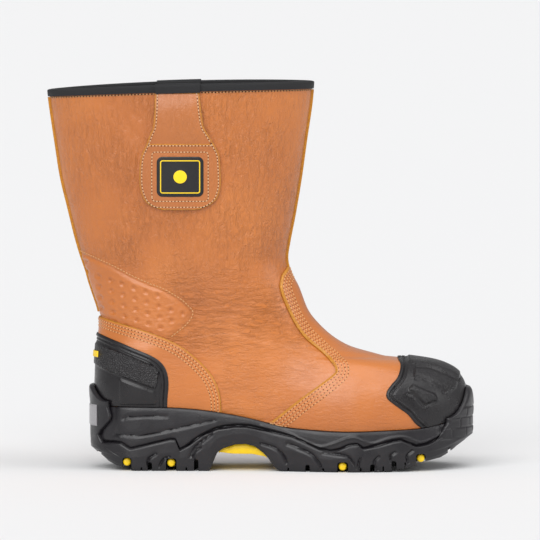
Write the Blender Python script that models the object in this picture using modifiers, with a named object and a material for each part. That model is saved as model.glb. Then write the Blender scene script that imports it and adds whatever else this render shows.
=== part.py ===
"""Rigger boot for the right foot, standing empty on its sole.

The toe points along +X, the inner (medial) side is +Y, and the floor is z = 0. The upper is a stack
of rings. A ring runs round the boot from the front of its centreline (turn 0) to its back (turn 1
on the medial side, -1 on the lateral side), and its level counts the rings from the feather edge
on the sole (0) up to the collar. Every overlay is a patch of the same surface, set further out.
"""

import functools
import math

import bmesh
import bpy
from mathutils import Vector

# Driving sizes in metres
LENGTH = 0.310  # outsole, heel to toe
HEIGHT = 0.312  # floor to the top of the collar
HEEL_SEAT = 0.0515  # top of the sole under the heel
ANKLE_HEIGHT = 0.150  # where the rings of the foot end and those of the shaft begin
BALL_WIDTH = 0.104
WAIST_WIDTH = 0.070
HEEL_WIDTH = 0.071
SHAFT_DEPTH = 0.212  # front to back at the collar
SHAFT_WIDTH = 0.088
SHAFT_AXIS = 0.0728  # middle of the collar, ahead of the back of the heel
TOE_SWING = 0.007  # how far the toe leans to the medial side
WAIST_SWING = 0.002  # how far the waist bows to the lateral side
SIDE_SHIFT = 0.0033  # puts the middle of the boot's whole width at y = 0

WALL = 0.0022  # leather of the upper
GAP = 0.0003  # clearance between pieces that touch
SEAT_GAP = 0.0005  # and above the curved top of the midsole
VAMP_THICK = 0.0017
BAND_THICK = 0.0017
COUNTER_THICK = 0.0026
COUNTER_PANEL = 0.0010
CAP_THICK = 0.0030
CAP_PAD = 0.0014
STRAP_THICK = 0.0020
STRAP_LIFT = 0.0028  # how far the free part of a strap stands off the shaft
BADGE_THICK = 0.0012
SEAM_THICK = 0.0013
BAR_THICK = 0.0007
REFLECTOR_THICK = 0.0008
INSOLE_THICK = 0.0040
INSOLE_MARGIN = 0.0012
BINDING_THICK = 0.0013
BINDING_DROP = 0.0050  # how far the binding reaches down from the rim
BINDING_CROWN = 0.0011
WEBBING_THICK = 0.0010

MIDSOLE_SHOWN = 0.0050  # how far the midsole stands out from the feather edge where it shows
MIDSOLE_HIDDEN = 0.0036  # and where the heel clip or toe bumper wraps it
LIP_HEIGHT = 0.0010
CLIP_INSIDE = 0.0041  # inner face of the heel clip and toe bumper, out from the upper
CLIP_THICK = 0.0027
CLIP_ROOT = 0.0030  # how deep the clip and bumper are rooted in the outsole
LUG_REACH = 0.026  # how far a gap between lugs runs in from the side
CHANNEL_WIDTH = 0.0045
CHANNEL_DEPTH = 0.0055
CHANNELS = ((0.02, 0.31, 0.012), (0.495, 0.84, 0.023))  # from, to, and distance from the centreline
ARCH_LOW = 0.0135  # underside of the arch insert
STUD_RADIUS = 0.0033
STUD_LENGTH = 0.0080
STUD_SETBACK = 0.0020  # a stud's face, in from the face of the lugs

HEEL_X = -(LENGTH + SHAFT_AXIS - SHAFT_DEPTH / 2 - BINDING_THICK - GAP) / 2

COLUMNS = 16  # of the upper's surface, on each side
ROWS = 20
RIM_LEVEL = 20.92  # the upper's own edge, inside the binding
TOP_LEVEL = 21
VAMP_TOP, CAP_TOP, BAND_TOP = 15.0, 8.5, 10.5  # levels that the layers reach before they are cut
FRONT_COLUMNS = range(-9, 10)
CAP_COLUMNS = range(-6, 7)
BACK_COLUMNS = range(9, 24)
LAYER_START = 0.12  # level at which the overlays clear the sole
CLIP_TURN = 0.137  # how far round the heel clip reaches from the back, and the toe bumper from the front
BUMPER_TURN = 0.160
CLIP_STEPS = 5  # columns of the clip and the bumper on each side

# Heights are shares of the foot up to 1 at the ankle, and of the shaft from there to 2 at the collar.
# Places along the foot are shares of its length from the back of the heel. Half widths are shares of
# the heel's, the waist's and the ball's. Follow is how much of the sole line's curve a ring keeps.
FOOT_COLUMNS = "front front_height back back_height heel waist ball nose tail edge follow".split()
FOOT_RINGS = (
    (0.972, -0.133, 0.022, 0.000, 0.93, 0.957, 0.962, 0.200, 0.116, 0.47, 1.00),
    (0.974, -0.036, 0.020, 0.070, 0.98, 0.994, 1.000, 0.200, 0.119, 0.47, 0.87),
    (0.972, 0.070, 0.019, 0.151, 1.00, 1.014, 1.000, 0.200, 0.123, 0.47, 0.72),
    (0.960, 0.184, 0.020, 0.241, 1.01, 1.030, 0.952, 0.206, 0.129, 0.47, 0.58),
    (0.938, 0.255, 0.021, 0.330, 1.01, 1.030, 0.865, 0.226, 0.135, 0.47, 0.43),
    (0.898, 0.308, 0.022, 0.411, 1.00, 1.030, 0.770, 0.245, 0.145, 0.48, 0.28),
    (0.841, 0.338, 0.024, 0.488, 1.00, 1.030, 0.690, 0.271, 0.155, 0.49, 0.14),
    (0.784, 0.354, 0.025, 0.557, 0.99, 1.030, 0.654, 0.290, 0.168, 0.50, 0.05),
    (0.728, 0.398, 0.027, 0.626, 0.99, 1.030, 0.635, 0.290, 0.181, 0.50, 0.00),
    (0.674, 0.450, 0.027, 0.695, 0.99, 1.030, 0.635, 0.290, 0.194, 0.50, 0.00),
    (0.630, 0.527, 0.022, 0.785, 0.99, 1.030, 0.654, 0.284, 0.210, 0.50, 0.00),
    (0.591, 0.635, 0.012, 0.882, 1.00, 1.037, 0.673, 0.277, 0.226, 0.50, 0.00),
    (0.560, 0.760, 0.000, 0.996, 1.02, 1.057, 0.702, 0.277, 0.242, 0.51, 0.00),
)
# Places and round ends of the shaft are shares of its depth, measured from its axis.
SHAFT_COLUMNS = "front front_height back back_height half nose tail edge".split()
SHAFT_RINGS = (
    (0.442, 0.943, -0.356, 1.057, 0.85, 0.415, 0.373, 0.52),
    (0.413, 1.042, -0.374, 1.126, 0.87, 0.415, 0.387, 0.53),
    (0.400, 1.116, -0.389, 1.190, 0.89, 0.415, 0.401, 0.55),
    (0.409, 1.205, -0.403, 1.259, 0.91, 0.425, 0.415, 0.56),
    (0.428, 1.333, -0.424, 1.373, 0.94, 0.440, 0.434, 0.57),
    (0.451, 1.511, -0.451, 1.521, 0.97, 0.462, 0.462, 0.58),
    (0.472, 1.709, -0.471, 1.689, 0.99, 0.481, 0.481, 0.58),
    (0.491, 1.877, -0.489, 1.847, 1.00, 0.495, 0.495, 0.58),
    (0.500, 2.000, -0.500, 1.957, 1.00, 0.500, 0.500, 0.58),
)
COLLAR_EASE = 2.2  # how soon a shaft ring reaches its front height
HEEL_STATION, WAIST_STATION, BALL_STATION = 0.17, 0.43, 0.70

# Lines of the sole seen from the side: places are shares of the length, heights of the heel seat.
TOP_LINE = (
    (0.00, 0.995), (0.20, 0.980), (0.30, 0.935), (0.40, 0.835), (0.50, 0.690), (0.56, 0.650),
    (0.66, 0.620), (0.76, 0.635), (0.86, 0.670), (0.92, 0.745), (1.00, 0.800),
)
WAVE_LINE = (
    (0.000, 0.400), (0.087, 0.404), (0.108, 0.315), (0.157, 0.392), (0.209, 0.466), (0.222, 0.460),
    (0.233, 0.300), (0.258, 0.380), (0.288, 0.513), (0.330, 0.630), (0.374, 0.668), (0.404, 0.668),
    (0.462, 0.598), (0.526, 0.518), (0.562, 0.425), (0.596, 0.330), (0.625, 0.300), (0.645, 0.322),
    (0.672, 0.394), (0.692, 0.405), (0.706, 0.340), (0.744, 0.384), (0.779, 0.447), (0.802, 0.466),
    (0.840, 0.367), (0.866, 0.394), (0.890, 0.466), (0.908, 0.545), (1.000, 0.600),
)
GROUND_LINE = (
    (0.000, 0.260), (0.033, 0.206), (0.047, 0.134), (0.064, 0.089), (0.087, 0.048), (0.108, 0.000),
    (0.310, 0.000), (0.330, 0.290), (0.346, 0.360), (0.374, 0.417), (0.404, 0.427), (0.428, 0.388),
    (0.447, 0.300), (0.462, 0.204), (0.476, 0.078), (0.488, 0.020), (0.500, 0.000), (0.744, 0.000),
    (0.802, 0.047), (0.840, 0.097), (0.866, 0.155), (0.908, 0.206), (0.928, 0.266), (0.960, 0.388),
    (1.000, 0.520),
)
# Outer wall of the outsole: share of its height, and how far it stands out from the feather edge at
# the side, the toe and the heel.
WALL_COLUMNS = "height side toe heel".split()
SOLE_WALL = (
    (0.00, 0.0036, -0.0036, -0.0036),
    (0.20, 0.0055, 0.0020, 0.0020),
    (0.60, 0.0066, 0.0070, 0.0066),
    (1.00, 0.0062, 0.0072, 0.0066),
)
# Gaps between lugs: place, width, height of the roof, and whether a stud sits in it.
GAPS = (
    (0.0965, 0.0072, 0.0108, True),
    (0.1556, 0.0036, 0.0072, False),
    (0.2110, 0.0084, 0.0102, True),
    (0.2756, 0.0036, 0.0096, False),
    (0.5635, 0.0036, 0.0060, False),
    (0.6540, 0.0086, 0.0084, True),
    (0.7305, 0.0036, 0.0066, False),
    (0.7865, 0.0040, 0.0092, False),
    (0.8560, 0.0078, 0.0145, True),
)

# Outlines of the overlays seen from the side: place along the foot, height. Each edge runs from
# above the boot down to below the feather edge, and the pads are closed outlines.
VAMP_EDGE = (
    (0.530, 1.120), (0.506, 1.062), (0.494, 1.022), (0.492, 0.947), (0.508, 0.809), (0.532, 0.658),
    (0.560, 0.541), (0.604, 0.427), (0.629, 0.345), (0.635, 0.301), (0.626, 0.255), (0.545, 0.070),
    (0.465, -0.133), (0.440, -0.200),
)
CAP_EDGE = (
    (0.765, 0.450), (0.784, 0.385), (0.798, 0.352), (0.803, 0.314), (0.795, 0.232), (0.779, 0.176),
    (0.767, 0.124), (0.769, 0.070), (0.795, 0.005), (0.820, -0.052), (0.839, -0.125),
    (0.853, -0.170), (0.865, -0.250),
)
BAND_EDGE = (
    (-0.040, 0.790), (0.019, 0.728), (0.088, 0.666), (0.160, 0.598), (0.227, 0.509), (0.279, 0.387),
    (0.317, 0.253), (0.337, 0.103), (0.341, -0.040), (0.342, -0.200),
)
COUNTER_EDGE = (
    (-0.040, 0.630), (0.017, 0.590), (0.039, 0.568), (0.112, 0.478), (0.165, 0.408), (0.194, 0.325),
    (0.204, 0.208), (0.201, 0.038), (0.200, -0.200),
)
COUNTER_PADS = {
    "upper_panel": (
        (-0.040, 0.530), (0.018, 0.498), (0.065, 0.452), (0.111, 0.403), (0.150, 0.352),
        (0.170, 0.325), (0.178, 0.295), (0.176, 0.200), (0.170, 0.150), (0.013, 0.329), (-0.040, 0.380),
    ),
    "lower_panel": (
        (0.078, 0.225), (0.168, 0.120), (0.172, 0.060), (0.172, 0.020), (0.078, 0.020),
    ),
}
CAP_PADS = {
    "side_pad": (
        (0.834, 0.184), (0.892, 0.104), (0.899, 0.060), (0.870, 0.026), (0.823, 0.129), (0.828, 0.159),
    ),
    "middle_pad": (
        (0.841, 0.312), (0.880, 0.293), (0.916, 0.257), (0.952, 0.188), (0.947, 0.143),
        (0.924, 0.099), (0.880, 0.188), (0.840, 0.242),
    ),
    "crown_pad": (
        (0.823, 0.500), (0.826, 0.360), (0.843, 0.335), (0.888, 0.317), (0.929, 0.272),
        (0.957, 0.216), (0.964, 0.270), (1.000, 0.500),
    ),
}
# A strap from its rounded foot up: height, and its two edges as shares of the shaft's depth.
STRAP_ROWS = (
    (1.370, -0.060, 0.060), (1.384, -0.098, 0.092), (1.402, -0.122, 0.118), (1.430, -0.138, 0.138),
    (1.480, -0.150, 0.150), (1.540, -0.152, 0.151), (1.600, -0.150, 0.149), (1.644, -0.143, 0.145),
    (1.689, -0.127, 0.128), (1.738, -0.113, 0.106), (1.780, -0.100, 0.088), (1.850, -0.095, 0.079),
    (1.930, -0.094, 0.072),
)
STRAP_FREE = (1.66, 1.93)  # heights between which it stands off the shaft
BADGE_LOW, BADGE_HIGH = 1.436, 1.634
BADGE_HALF = 0.087
BADGE_CORNER = 0.022
WEBBING_BACK, WEBBING_FRONT = -0.092, 0.075  # its edges at the collar, as the strap's
WEBBING_TAIL = 0.0150  # how far it reaches down inside the shaft
REFLECTOR_LOW, REFLECTOR_HIGH = 0.0350, 0.0520
REFLECTOR_STEPS = 3  # columns of the heel clip that it covers on each side
BAR_LEVELS = (4.70, 5.32)
BAR_TURN = 0.071
SEAM_TURN = 0.012
FRONT_SEAM_LEVELS = (14.9, 20.3)
BACK_SEAM_LEVELS = (9.9, 20.3)

COLOURS = {
    "leather": ((0.56, 0.23, 0.075, 1), 0.45),
    "edge": ((0.72, 0.36, 0.06, 1), 0.7),
    "rubber": ((0.045, 0.042, 0.046, 1), 0.6),
    "textile": ((0.02, 0.02, 0.022, 1), 0.8),
    "yellow": ((0.95, 0.68, 0.01, 1), 0.45),
    "grey": ((0.42, 0.42, 0.43, 1), 0.35),
    "footbed": ((0.09, 0.09, 0.10, 1), 0.9),
}


def hermite_slopes(start, end, slope_start, slope_end, at):
    square, cube = at * at, at * at * at
    return (
        (2 * cube - 3 * square + 1) * start
        + (cube - 2 * square + at) * slope_start
        + (3 * square - 2 * cube) * end
        + (cube - square) * slope_end
    )


def hermite(before, start, end, after, at):
    """The smooth value between start and end, with the two neighbours giving the slopes."""
    return hermite_slopes(start, end, (end - before) / 2, (after - start) / 2, at)


def along_rows(rows, at):
    """Each column of a table of rows read smoothly at a fractional row number."""
    last = len(rows) - 1
    first = min(max(int(math.floor(at)), 0), last - 1)
    start, end = rows[first], rows[first + 1]
    before = rows[first - 1] if first else [2 * a - b for a, b in zip(start, end)]
    after = rows[first + 2] if first + 2 <= last else [2 * b - a for a, b in zip(start, end)]
    return [hermite(*four, at - first) for four in zip(before, start, end, after)]


def along_line(line, place, smooth=False):
    """The height of a line of (place, height) points, read straight or smoothly between them."""
    place = min(max(place, line[0][0]), line[-1][0])
    index = next((i for i in range(1, len(line)) if place <= line[i][0]), len(line) - 1)
    (x0, z0), (x1, z1) = line[index - 1], line[index]
    share = (place - x0) / (x1 - x0)
    if not smooth:
        return z0 + (z1 - z0) * share
    before, after = line[max(index - 2, 0)], line[min(index + 1, len(line) - 1)]
    slopes = (z1 - before[1]) / (x1 - before[0]), (after[1] - z0) / (after[0] - x0)
    return hermite_slopes(z0, z1, slopes[0] * (x1 - x0), slopes[1] * (x1 - x0), share)


def blend(start, end, at):
    at = min(max(at, 0.0), 1.0)
    return start + (end - start) * at * at * (3 - 2 * at)


def top_line(x):
    return HEEL_SEAT * along_line(TOP_LINE, x / LENGTH, True)


def wave_line(x):
    return HEEL_SEAT * along_line(WAVE_LINE, x / LENGTH)


def ground_line(x):
    return HEEL_SEAT * along_line(GROUND_LINE, x / LENGTH)


def height_of(share):
    """A height share in metres above the floor."""
    if share <= 1:
        return HEEL_SEAT + share * (ANKLE_HEIGHT - HEEL_SEAT)
    return ANKLE_HEIGHT + (share - 1) * (HEIGHT - ANKLE_HEIGHT)


def rings_in_metres():
    rings = []
    for row in FOOT_RINGS:
        r = dict(zip(FOOT_COLUMNS, row))
        rings.append([
            r["front"] * LENGTH, height_of(r["front_height"]),
            r["back"] * LENGTH, height_of(r["back_height"]),
            r["heel"] * HEEL_WIDTH / 2, r["waist"] * WAIST_WIDTH / 2, r["ball"] * BALL_WIDTH / 2,
            r["nose"] * LENGTH, r["tail"] * LENGTH, r["edge"], r["follow"],
        ])
    rings[0][1] = top_line(rings[0][0]) + SEAT_GAP
    rings[0][3] = top_line(rings[0][2]) + SEAT_GAP
    for row in SHAFT_RINGS:
        r = dict(zip(SHAFT_COLUMNS, row))
        half = r["half"] * SHAFT_WIDTH / 2
        rings.append([
            SHAFT_AXIS + r["front"] * SHAFT_DEPTH, height_of(r["front_height"]),
            SHAFT_AXIS + r["back"] * SHAFT_DEPTH, height_of(r["back_height"]),
            half, half, half,
            r["nose"] * SHAFT_DEPTH, r["tail"] * SHAFT_DEPTH, r["edge"], 0.0,
        ])
    return rings


RINGS = rings_in_metres()


@functools.lru_cache(maxsize=None)
def ring_at(level):
    return dict(zip(FOOT_COLUMNS, along_rows(RINGS, level)))


def round_end(share, edge):
    share = min(max(share, 0.0), 1.0)
    return (1 - (1 - share) ** 2) ** edge


def half_width(ring, x):
    share = x / LENGTH
    width = blend(ring["heel"], ring["waist"], (share - HEEL_STATION) / (WAIST_STATION - HEEL_STATION))
    width = blend(width, ring["ball"], (share - WAIST_STATION) / (BALL_STATION - WAIST_STATION))
    front = round_end((ring["front"] - x) / ring["nose"], ring["edge"])
    back = round_end((x - ring["back"]) / ring["tail"], ring["edge"])
    return width * front * back


def swing(x, follow):
    """How far the centreline lies to the medial side."""
    share = x / LENGTH
    toe = TOE_SWING * blend(0, 1, (share - 0.52) / 0.45)
    waist = WAIST_SWING * math.exp(-(((share - WAIST_STATION) / 0.14) ** 2))
    return toe - follow * waist - SIDE_SHIFT


def ring_height(ring, x):
    u = min(max((x - ring["back"]) / (ring["front"] - ring["back"]), 0.0), 1.0)
    follow = ring["follow"]
    eased = 1 - (1 - u) ** COLLAR_EASE
    rise = u + (eased - u) * blend(0, 1, (ring["front_height"] - ANKLE_HEIGHT) / (HEIGHT - ANKLE_HEIGHT))
    height = ring["back_height"] + (ring["front_height"] - ring["back_height"]) * rise
    ends = top_line(ring["back"]), top_line(ring["front"])
    return height + follow * (top_line(x) - ends[0] - (ends[1] - ends[0]) * u)


def place_on(ring, turn):
    return ring["back"] + (ring["front"] - ring["back"]) * (1 + math.cos(math.pi * turn)) / 2


def point(level, turn):
    """A point of the upper's outer face."""
    turn = (turn + 1) % 2 - 1
    ring = ring_at(level)
    x = place_on(ring, turn)
    side = 1 if turn >= 0 else -1
    y = side * half_width(ring, x) + swing(x, ring["follow"])
    return Vector((HEEL_X + x, y, ring_height(ring, x)))


def outward(level, turn):
    step = 0.02
    round_it = point(level, turn + step) - point(level, turn - step)
    up_it = point(level + step, turn) - point(level - step, turn)
    normal = round_it.cross(up_it).normalized()
    normal.z *= min(level, 1.0)
    return normal.normalized()


def surface(level, turn, out):
    """A point set out from the upper's outer face, which never dips below the feather edge."""
    return point(level, turn) + outward(level, turn) * out


def plan(turn, out):
    """A point of the feather edge's outline, set out level with the floor, as (x from heel, y)."""
    here = point(0, turn)
    ahead = point(0, turn + 0.01) - point(0, turn - 0.01)
    normal = Vector((ahead.y, -ahead.x, 0)).normalized()
    moved = here + normal * out
    return Vector((moved.x, moved.y, 0))


def spot(x, z):
    """The level and turn of the place seen from the side at x from the heel and height z."""
    low, high = 0.0, float(TOP_LEVEL)
    for _ in range(40):
        middle = (low + high) / 2
        if ring_height(ring_at(middle), x) < z:
            low = middle
        else:
            high = middle
    ring = ring_at(low)
    cosine = 2 * (x - ring["back"]) / (ring["front"] - ring["back"]) - 1
    return low, math.acos(min(max(cosine, -1.0), 1.0)) / math.pi


def shaft_spot(place, height):
    return spot(SHAFT_AXIS + place * SHAFT_DEPTH, height_of(height))


def smooth_edge(edge):
    """The places and heights of an edge in metres, read smoothly between its points."""
    steps = 2 * (len(edge) - 1)
    read = [along_rows(edge, i / 2) for i in range(steps + 1)]
    return [(place * LENGTH, height_of(height)) for place, height in read]


def shifted(outline, x, z):
    return [(px + x, pz + z) for px, pz in outline]


def material(name):
    made = bpy.data.materials.get(name)
    if made is None:
        colour, roughness = COLOURS[name]
        made = bpy.data.materials.new(name)
        made.use_nodes = True
        shader = made.node_tree.nodes["Principled BSDF"]
        shader.inputs["Base Color"].default_value = colour
        shader.inputs["Roughness"].default_value = roughness
    return made


def add_object(name, mesh, finish, collection="rigger_boot"):
    if finish:
        mesh.materials.append(material(finish))
    made = bpy.data.objects.new(name, mesh)
    bpy.data.collections[collection].objects.link(made)
    mesh.shade_smooth()
    mesh.set_sharp_from_angle(angle=math.radians(38))
    return made


def grid_mesh(name, rows, closed=False, flip=False):
    """An open sheet through rows of points, joined round where closed."""
    count = len(rows[0])
    work = bmesh.new()
    verts = [[work.verts.new(p) for p in row] for row in rows]
    for below, above in zip(verts, verts[1:]):
        for i in range(count if closed else count - 1):
            j = (i + 1) % count
            for corners in ((below[i], below[j], above[j]), (below[i], above[j], above[i])):
                work.faces.new(corners[::-1] if flip else corners)
    bmesh.ops.remove_doubles(work, verts=work.verts, dist=1e-6)
    mesh = bpy.data.meshes.new(name)
    work.to_mesh(mesh)
    work.free()
    return mesh


def thicken(made, thickness, offset):
    solid = made.modifiers.new("wall", "SOLIDIFY")
    solid.thickness = thickness
    solid.offset = offset
    return made


def skin(name, spots, out, thickness, finish, collection="rigger_boot"):
    """A piece of even thickness laid on the upper over a grid of (level, turn) spots."""
    offsets = out if callable(out) else lambda level, turn: out
    rows = [[surface(level, turn, offsets(level, turn)) for level, turn in row] for row in spots]
    r, c = len(rows) // 2, len(rows[0]) // 2
    across = rows[r][c] - rows[r][c - 1]
    onward = rows[r][c - 1] - rows[r - 1][c - 1]
    inside_out = across.cross(onward).dot(outward(*spots[r][c - 1])) < 0
    made = add_object(name, grid_mesh(name, rows, flip=inside_out), finish, collection)
    return thicken(made, thickness, 1)


def layer(name, top_level, columns, out, thickness, finish, collection="rigger_boot"):
    """A layer over part of the upper, on the same rows and columns as the upper's own surface."""
    rows = math.ceil(top_level * ROWS / RIM_LEVEL)
    levels = [LAYER_START] + [RIM_LEVEL * r / ROWS for r in range(1, rows + 1)]
    spots = [[(level, c / COLUMNS) for c in columns] for level in levels]
    return skin(name, spots, out, thickness, finish, collection)


def prism(name, outline):
    """A cutter with the given side outline of (x from the heel, z), as wide as the boot and more."""
    work = bmesh.new()
    side = [work.verts.new((HEEL_X + x, -BALL_WIDTH, z)) for x, z in outline]
    face = work.faces.new(side)
    grown = bmesh.ops.extrude_face_region(work, geom=[face])
    moved = [part for part in grown["geom"] if isinstance(part, bmesh.types.BMVert)]
    bmesh.ops.translate(work, vec=(0, 2 * BALL_WIDTH, 0), verts=moved)
    bmesh.ops.recalc_face_normals(work, faces=work.faces)
    mesh = bpy.data.meshes.new(name)
    work.to_mesh(mesh)
    work.free()
    return helper(add_object(name, mesh, None, "cutters"))


def boolean(made, cutter, operation, solver="EXACT"):
    cut = made.modifiers.new(cutter.name, "BOOLEAN")
    cut.operation = operation
    cut.object = cutter
    cut.solver = solver


def helper(made):
    made.hide_render = True
    made.display_type = "WIRE"
    return made


def build_upper():
    rows = []
    for r in range(ROWS + 1):
        level = RIM_LEVEL * r / ROWS
        count = 2 * COLUMNS
        rows.append([point(level, -1 + 2 * c / count) for c in range(count)])
    made = add_object("upper", grid_mesh("upper", rows, closed=True), "leather")
    return thicken(made, WALL, -1)


def build_insole():
    outline = [plan(c / COLUMNS, -WALL - INSOLE_MARGIN) for c in range(COLUMNS + 1)]
    other = [plan(-c / COLUMNS, -WALL - INSOLE_MARGIN) for c in range(COLUMNS + 1)]
    rows = []
    for medial, lateral in zip(outline, other):
        z = top_line(medial.x - HEEL_X) + SEAT_GAP
        rows.append([Vector((p.x, p.y, z)) for p in (medial, (medial + lateral) / 2, lateral)])
    made = add_object("insole", grid_mesh("insole", rows, flip=True), "footbed")
    return thicken(made, INSOLE_THICK, 1)


def sole_turns():
    """Turns of the sole's columns: one at each point of its two lines, and closer at the ends."""
    ring = ring_at(0.0)
    reach = ring["front"] - ring["back"]
    places = {place * LENGTH for line in (WAVE_LINE, GROUND_LINE) for place, _ in line}
    turns = {BUMPER_TURN * share for share in (0, 0.25, 0.5, 0.75, 1, 1.2)}
    turns |= {1 - CLIP_TURN * share for share in (0, 0.25, 0.5, 0.75, 1, 1.2)}
    for place in places:
        turn = math.acos(min(max(2 * (place - ring["back"]) / reach - 1, -1.0), 1.0)) / math.pi
        if 1.2 * BUMPER_TURN < turn < 1 - 1.2 * CLIP_TURN:
            turns.add(turn)
    kept = []
    for turn in sorted(turns):
        if not kept or turn - kept[-1] > 0.002:
            kept.append(turn)
    return kept


def perimeter_solid(name, rows, finish):
    """A closed solid from loops of points round the sole, with its two ends bridged side to side."""
    count = len(rows[0])
    half = count // 2
    work = bmesh.new()
    verts = [[work.verts.new(p) for p in row] for row in rows]
    for below, above in zip(verts, verts[1:]):
        for i in range(count):
            j = (i + 1) % count
            work.faces.new((below[i], below[j], above[j], above[i]))
    for loop, flip in ((verts[0], True), (verts[-1], False)):
        for i in range(half):
            corners = [loop[i], loop[i + 1], loop[-i - 1], loop[-i]]
            corners = list(dict.fromkeys(corners))
            work.faces.new(corners[::-1] if flip else corners)
    bmesh.ops.recalc_face_normals(work, faces=work.faces)
    mesh = bpy.data.meshes.new(name)
    work.to_mesh(mesh)
    work.free()
    return add_object(name, mesh, finish)


def full_turn(turns):
    """Every column's turn, from the toe round the medial side to the heel and back."""
    return turns + [-turn for turn in turns[-2:0:-1]]


def wrapped(turn):
    """1 where the heel clip or toe bumper covers the midsole, 0 where it shows."""
    aside = abs((turn + 1) % 2 - 1)
    heel = blend(0, 1, (aside - 1 + 1.2 * CLIP_TURN) / (0.15 * CLIP_TURN))
    toe = blend(0, 1, (1.2 * BUMPER_TURN - aside) / (0.15 * BUMPER_TURN))
    return max(heel, toe)


def midsole_out(turn):
    share = wrapped(turn)
    return MIDSOLE_SHOWN + (MIDSOLE_HIDDEN - MIDSOLE_SHOWN) * share


def build_midsole(turns):
    def loop(out_more, height):
        row = []
        for turn in turns:
            x = place_on(ring_at(0.0), turn)
            p = plan(turn, midsole_out(turn) + out_more)
            low, high = wave_line(x) + GAP, top_line(x)
            row.append(Vector((p.x, p.y, low + (high - low) * height)))
        return row
    rows = [loop(0, 0), loop(0, 0.45), loop(-0.0004, 0.8), loop(-0.0016, 1)]
    return perimeter_solid("midsole", rows, "rubber")


def build_outsole(turns):
    base = ring_at(0.0)

    def facing(turn):
        ahead = point(0, turn + 0.01) - point(0, turn - 0.01)
        normal = Vector((ahead.y, -ahead.x, 0)).normalized()
        return normal.x

    def wall_loop(row):
        cells = dict(zip(WALL_COLUMNS, row))
        loop = []
        for turn in turns:
            x = place_on(base, turn)
            end = facing(turn)
            out = cells["side"] + (cells["toe" if end > 0 else "heel"] - cells["side"]) * end * end
            p = plan(turn, out)
            low = ground_line(p.x - HEEL_X) if cells["height"] == 0 else ground_line(x)
            high = wave_line(x) + LIP_HEIGHT
            loop.append(Vector((p.x, p.y, low + (high - low) * cells["height"])))
        return loop

    def inner_loop(lift):
        loop = []
        for turn in turns:
            x = place_on(base, turn)
            p = plan(turn, midsole_out(turn) + GAP)
            loop.append(Vector((p.x, p.y, wave_line(x) + lift)))
        return loop

    rows = [wall_loop(row) for row in SOLE_WALL] + [inner_loop(LIP_HEIGHT), inner_loop(0)]
    return perimeter_solid("outsole", rows, "rubber")


def wrap_shell(name, turns, top_level):
    """A wall that stands on the outsole and follows the upper: the heel clip or the toe bumper."""
    root, foot = [], []
    for turn in turns:
        x = place_on(ring_at(0.0), turn)
        p = plan(turn, CLIP_INSIDE)
        root.append(Vector((p.x, p.y, wave_line(x) - CLIP_ROOT)))
        foot.append(Vector((p.x, p.y, top_line(x))))
    rows = [root, foot]
    for share in (0.33, 0.67, 1.0):
        rows.append([surface(top_level(turn) * share, turn, CLIP_INSIDE) for turn in turns])
    made = add_object(name, grid_mesh(name, rows), None, "cutters")
    return helper(thicken(made, CLIP_THICK, 1))


def build_clip_and_bumper(outsole):
    steps = range(-CLIP_STEPS, CLIP_STEPS + 1)
    heel_turns = [1 + CLIP_TURN * i / CLIP_STEPS for i in steps]
    toe_turns = [BUMPER_TURN * i / CLIP_STEPS for i in steps]

    def heel_top(turn):
        share = abs(turn - 1) / CLIP_TURN
        return blend(2.15, 0.70, (share - 0.15) / 0.8)

    def toe_top(turn):
        share = abs(turn) / BUMPER_TURN
        return blend(2.5, 0.60, (share - 0.2) / 0.8)

    boolean(outsole, wrap_shell("heel_clip", heel_turns, heel_top), "UNION")
    boolean(outsole, wrap_shell("toe_bumper", toe_turns, toe_top), "UNION")


def box(name, centre, size, collection="cutters"):
    work = bmesh.new()
    bmesh.ops.create_cube(work, size=1)
    bmesh.ops.scale(work, vec=Vector(size), verts=work.verts)
    bmesh.ops.translate(work, vec=Vector(centre), verts=work.verts)
    mesh = bpy.data.meshes.new(name)
    work.to_mesh(mesh)
    work.free()
    return helper(add_object(name, mesh, None, collection))


def side_of(place, side, out):
    """The point of the sole's outline, set out, at a place along the foot on the side +1 or -1."""
    front, back = 0.0, 1.0
    for _ in range(30):
        turn = (front + back) / 2
        if plan(side * turn, out).x - HEEL_X > place * LENGTH:
            front = turn
        else:
            back = turn
    return plan(side * front, out)


def cut_lugs(outsole):
    for number, (place, width, roof, _) in enumerate(GAPS):
        for side, label in ((1, "medial"), (-1, "lateral")):
            edge = side_of(place, side, 0.012)
            reach = LUG_REACH + 0.012
            centre = (edge.x, edge.y - side * reach / 2, roof - 0.02)
            cutter = box(f"gap_{label}_{number}", centre, (width, reach, 0.04))
            boolean(outsole, cutter, "DIFFERENCE")


def cut_channels(outsole):
    for number, (start, end, aside) in enumerate(CHANNELS):
        for side, label in ((1, "medial"), (-1, "lateral")):
            middle = (start + end) / 2 * LENGTH
            centre = (HEEL_X + middle, side * aside + swing(middle, 1), CHANNEL_DEPTH - 0.01)
            size = ((end - start) * LENGTH, CHANNEL_WIDTH, 0.02)
            cutter = box(f"channel_{label}_{number}", centre, size)
            boolean(outsole, cutter, "DIFFERENCE", "MANIFOLD")


def build_studs():
    for number, (place, _, roof, has_stud) in enumerate(GAPS):
        if not has_stud:
            continue
        for side, label in ((1, "medial"), (-1, "lateral")):
            face = side_of(place, side, SOLE_WALL[1][1] - STUD_SETBACK)
            name = f"lug_stud_{label}_{number}"
            work = bmesh.new()
            bmesh.ops.create_cone(
                work, cap_ends=True, segments=12, radius1=STUD_RADIUS, radius2=STUD_RADIUS,
                depth=STUD_LENGTH,
            )
            mesh = bpy.data.meshes.new(name)
            work.to_mesh(mesh)
            work.free()
            made = add_object(name, mesh, "yellow")
            made.rotation_euler = (math.pi / 2, 0, 0)
            made.location = (face.x, face.y - side * STUD_LENGTH / 2, roof - GAP - STUD_RADIUS)


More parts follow.
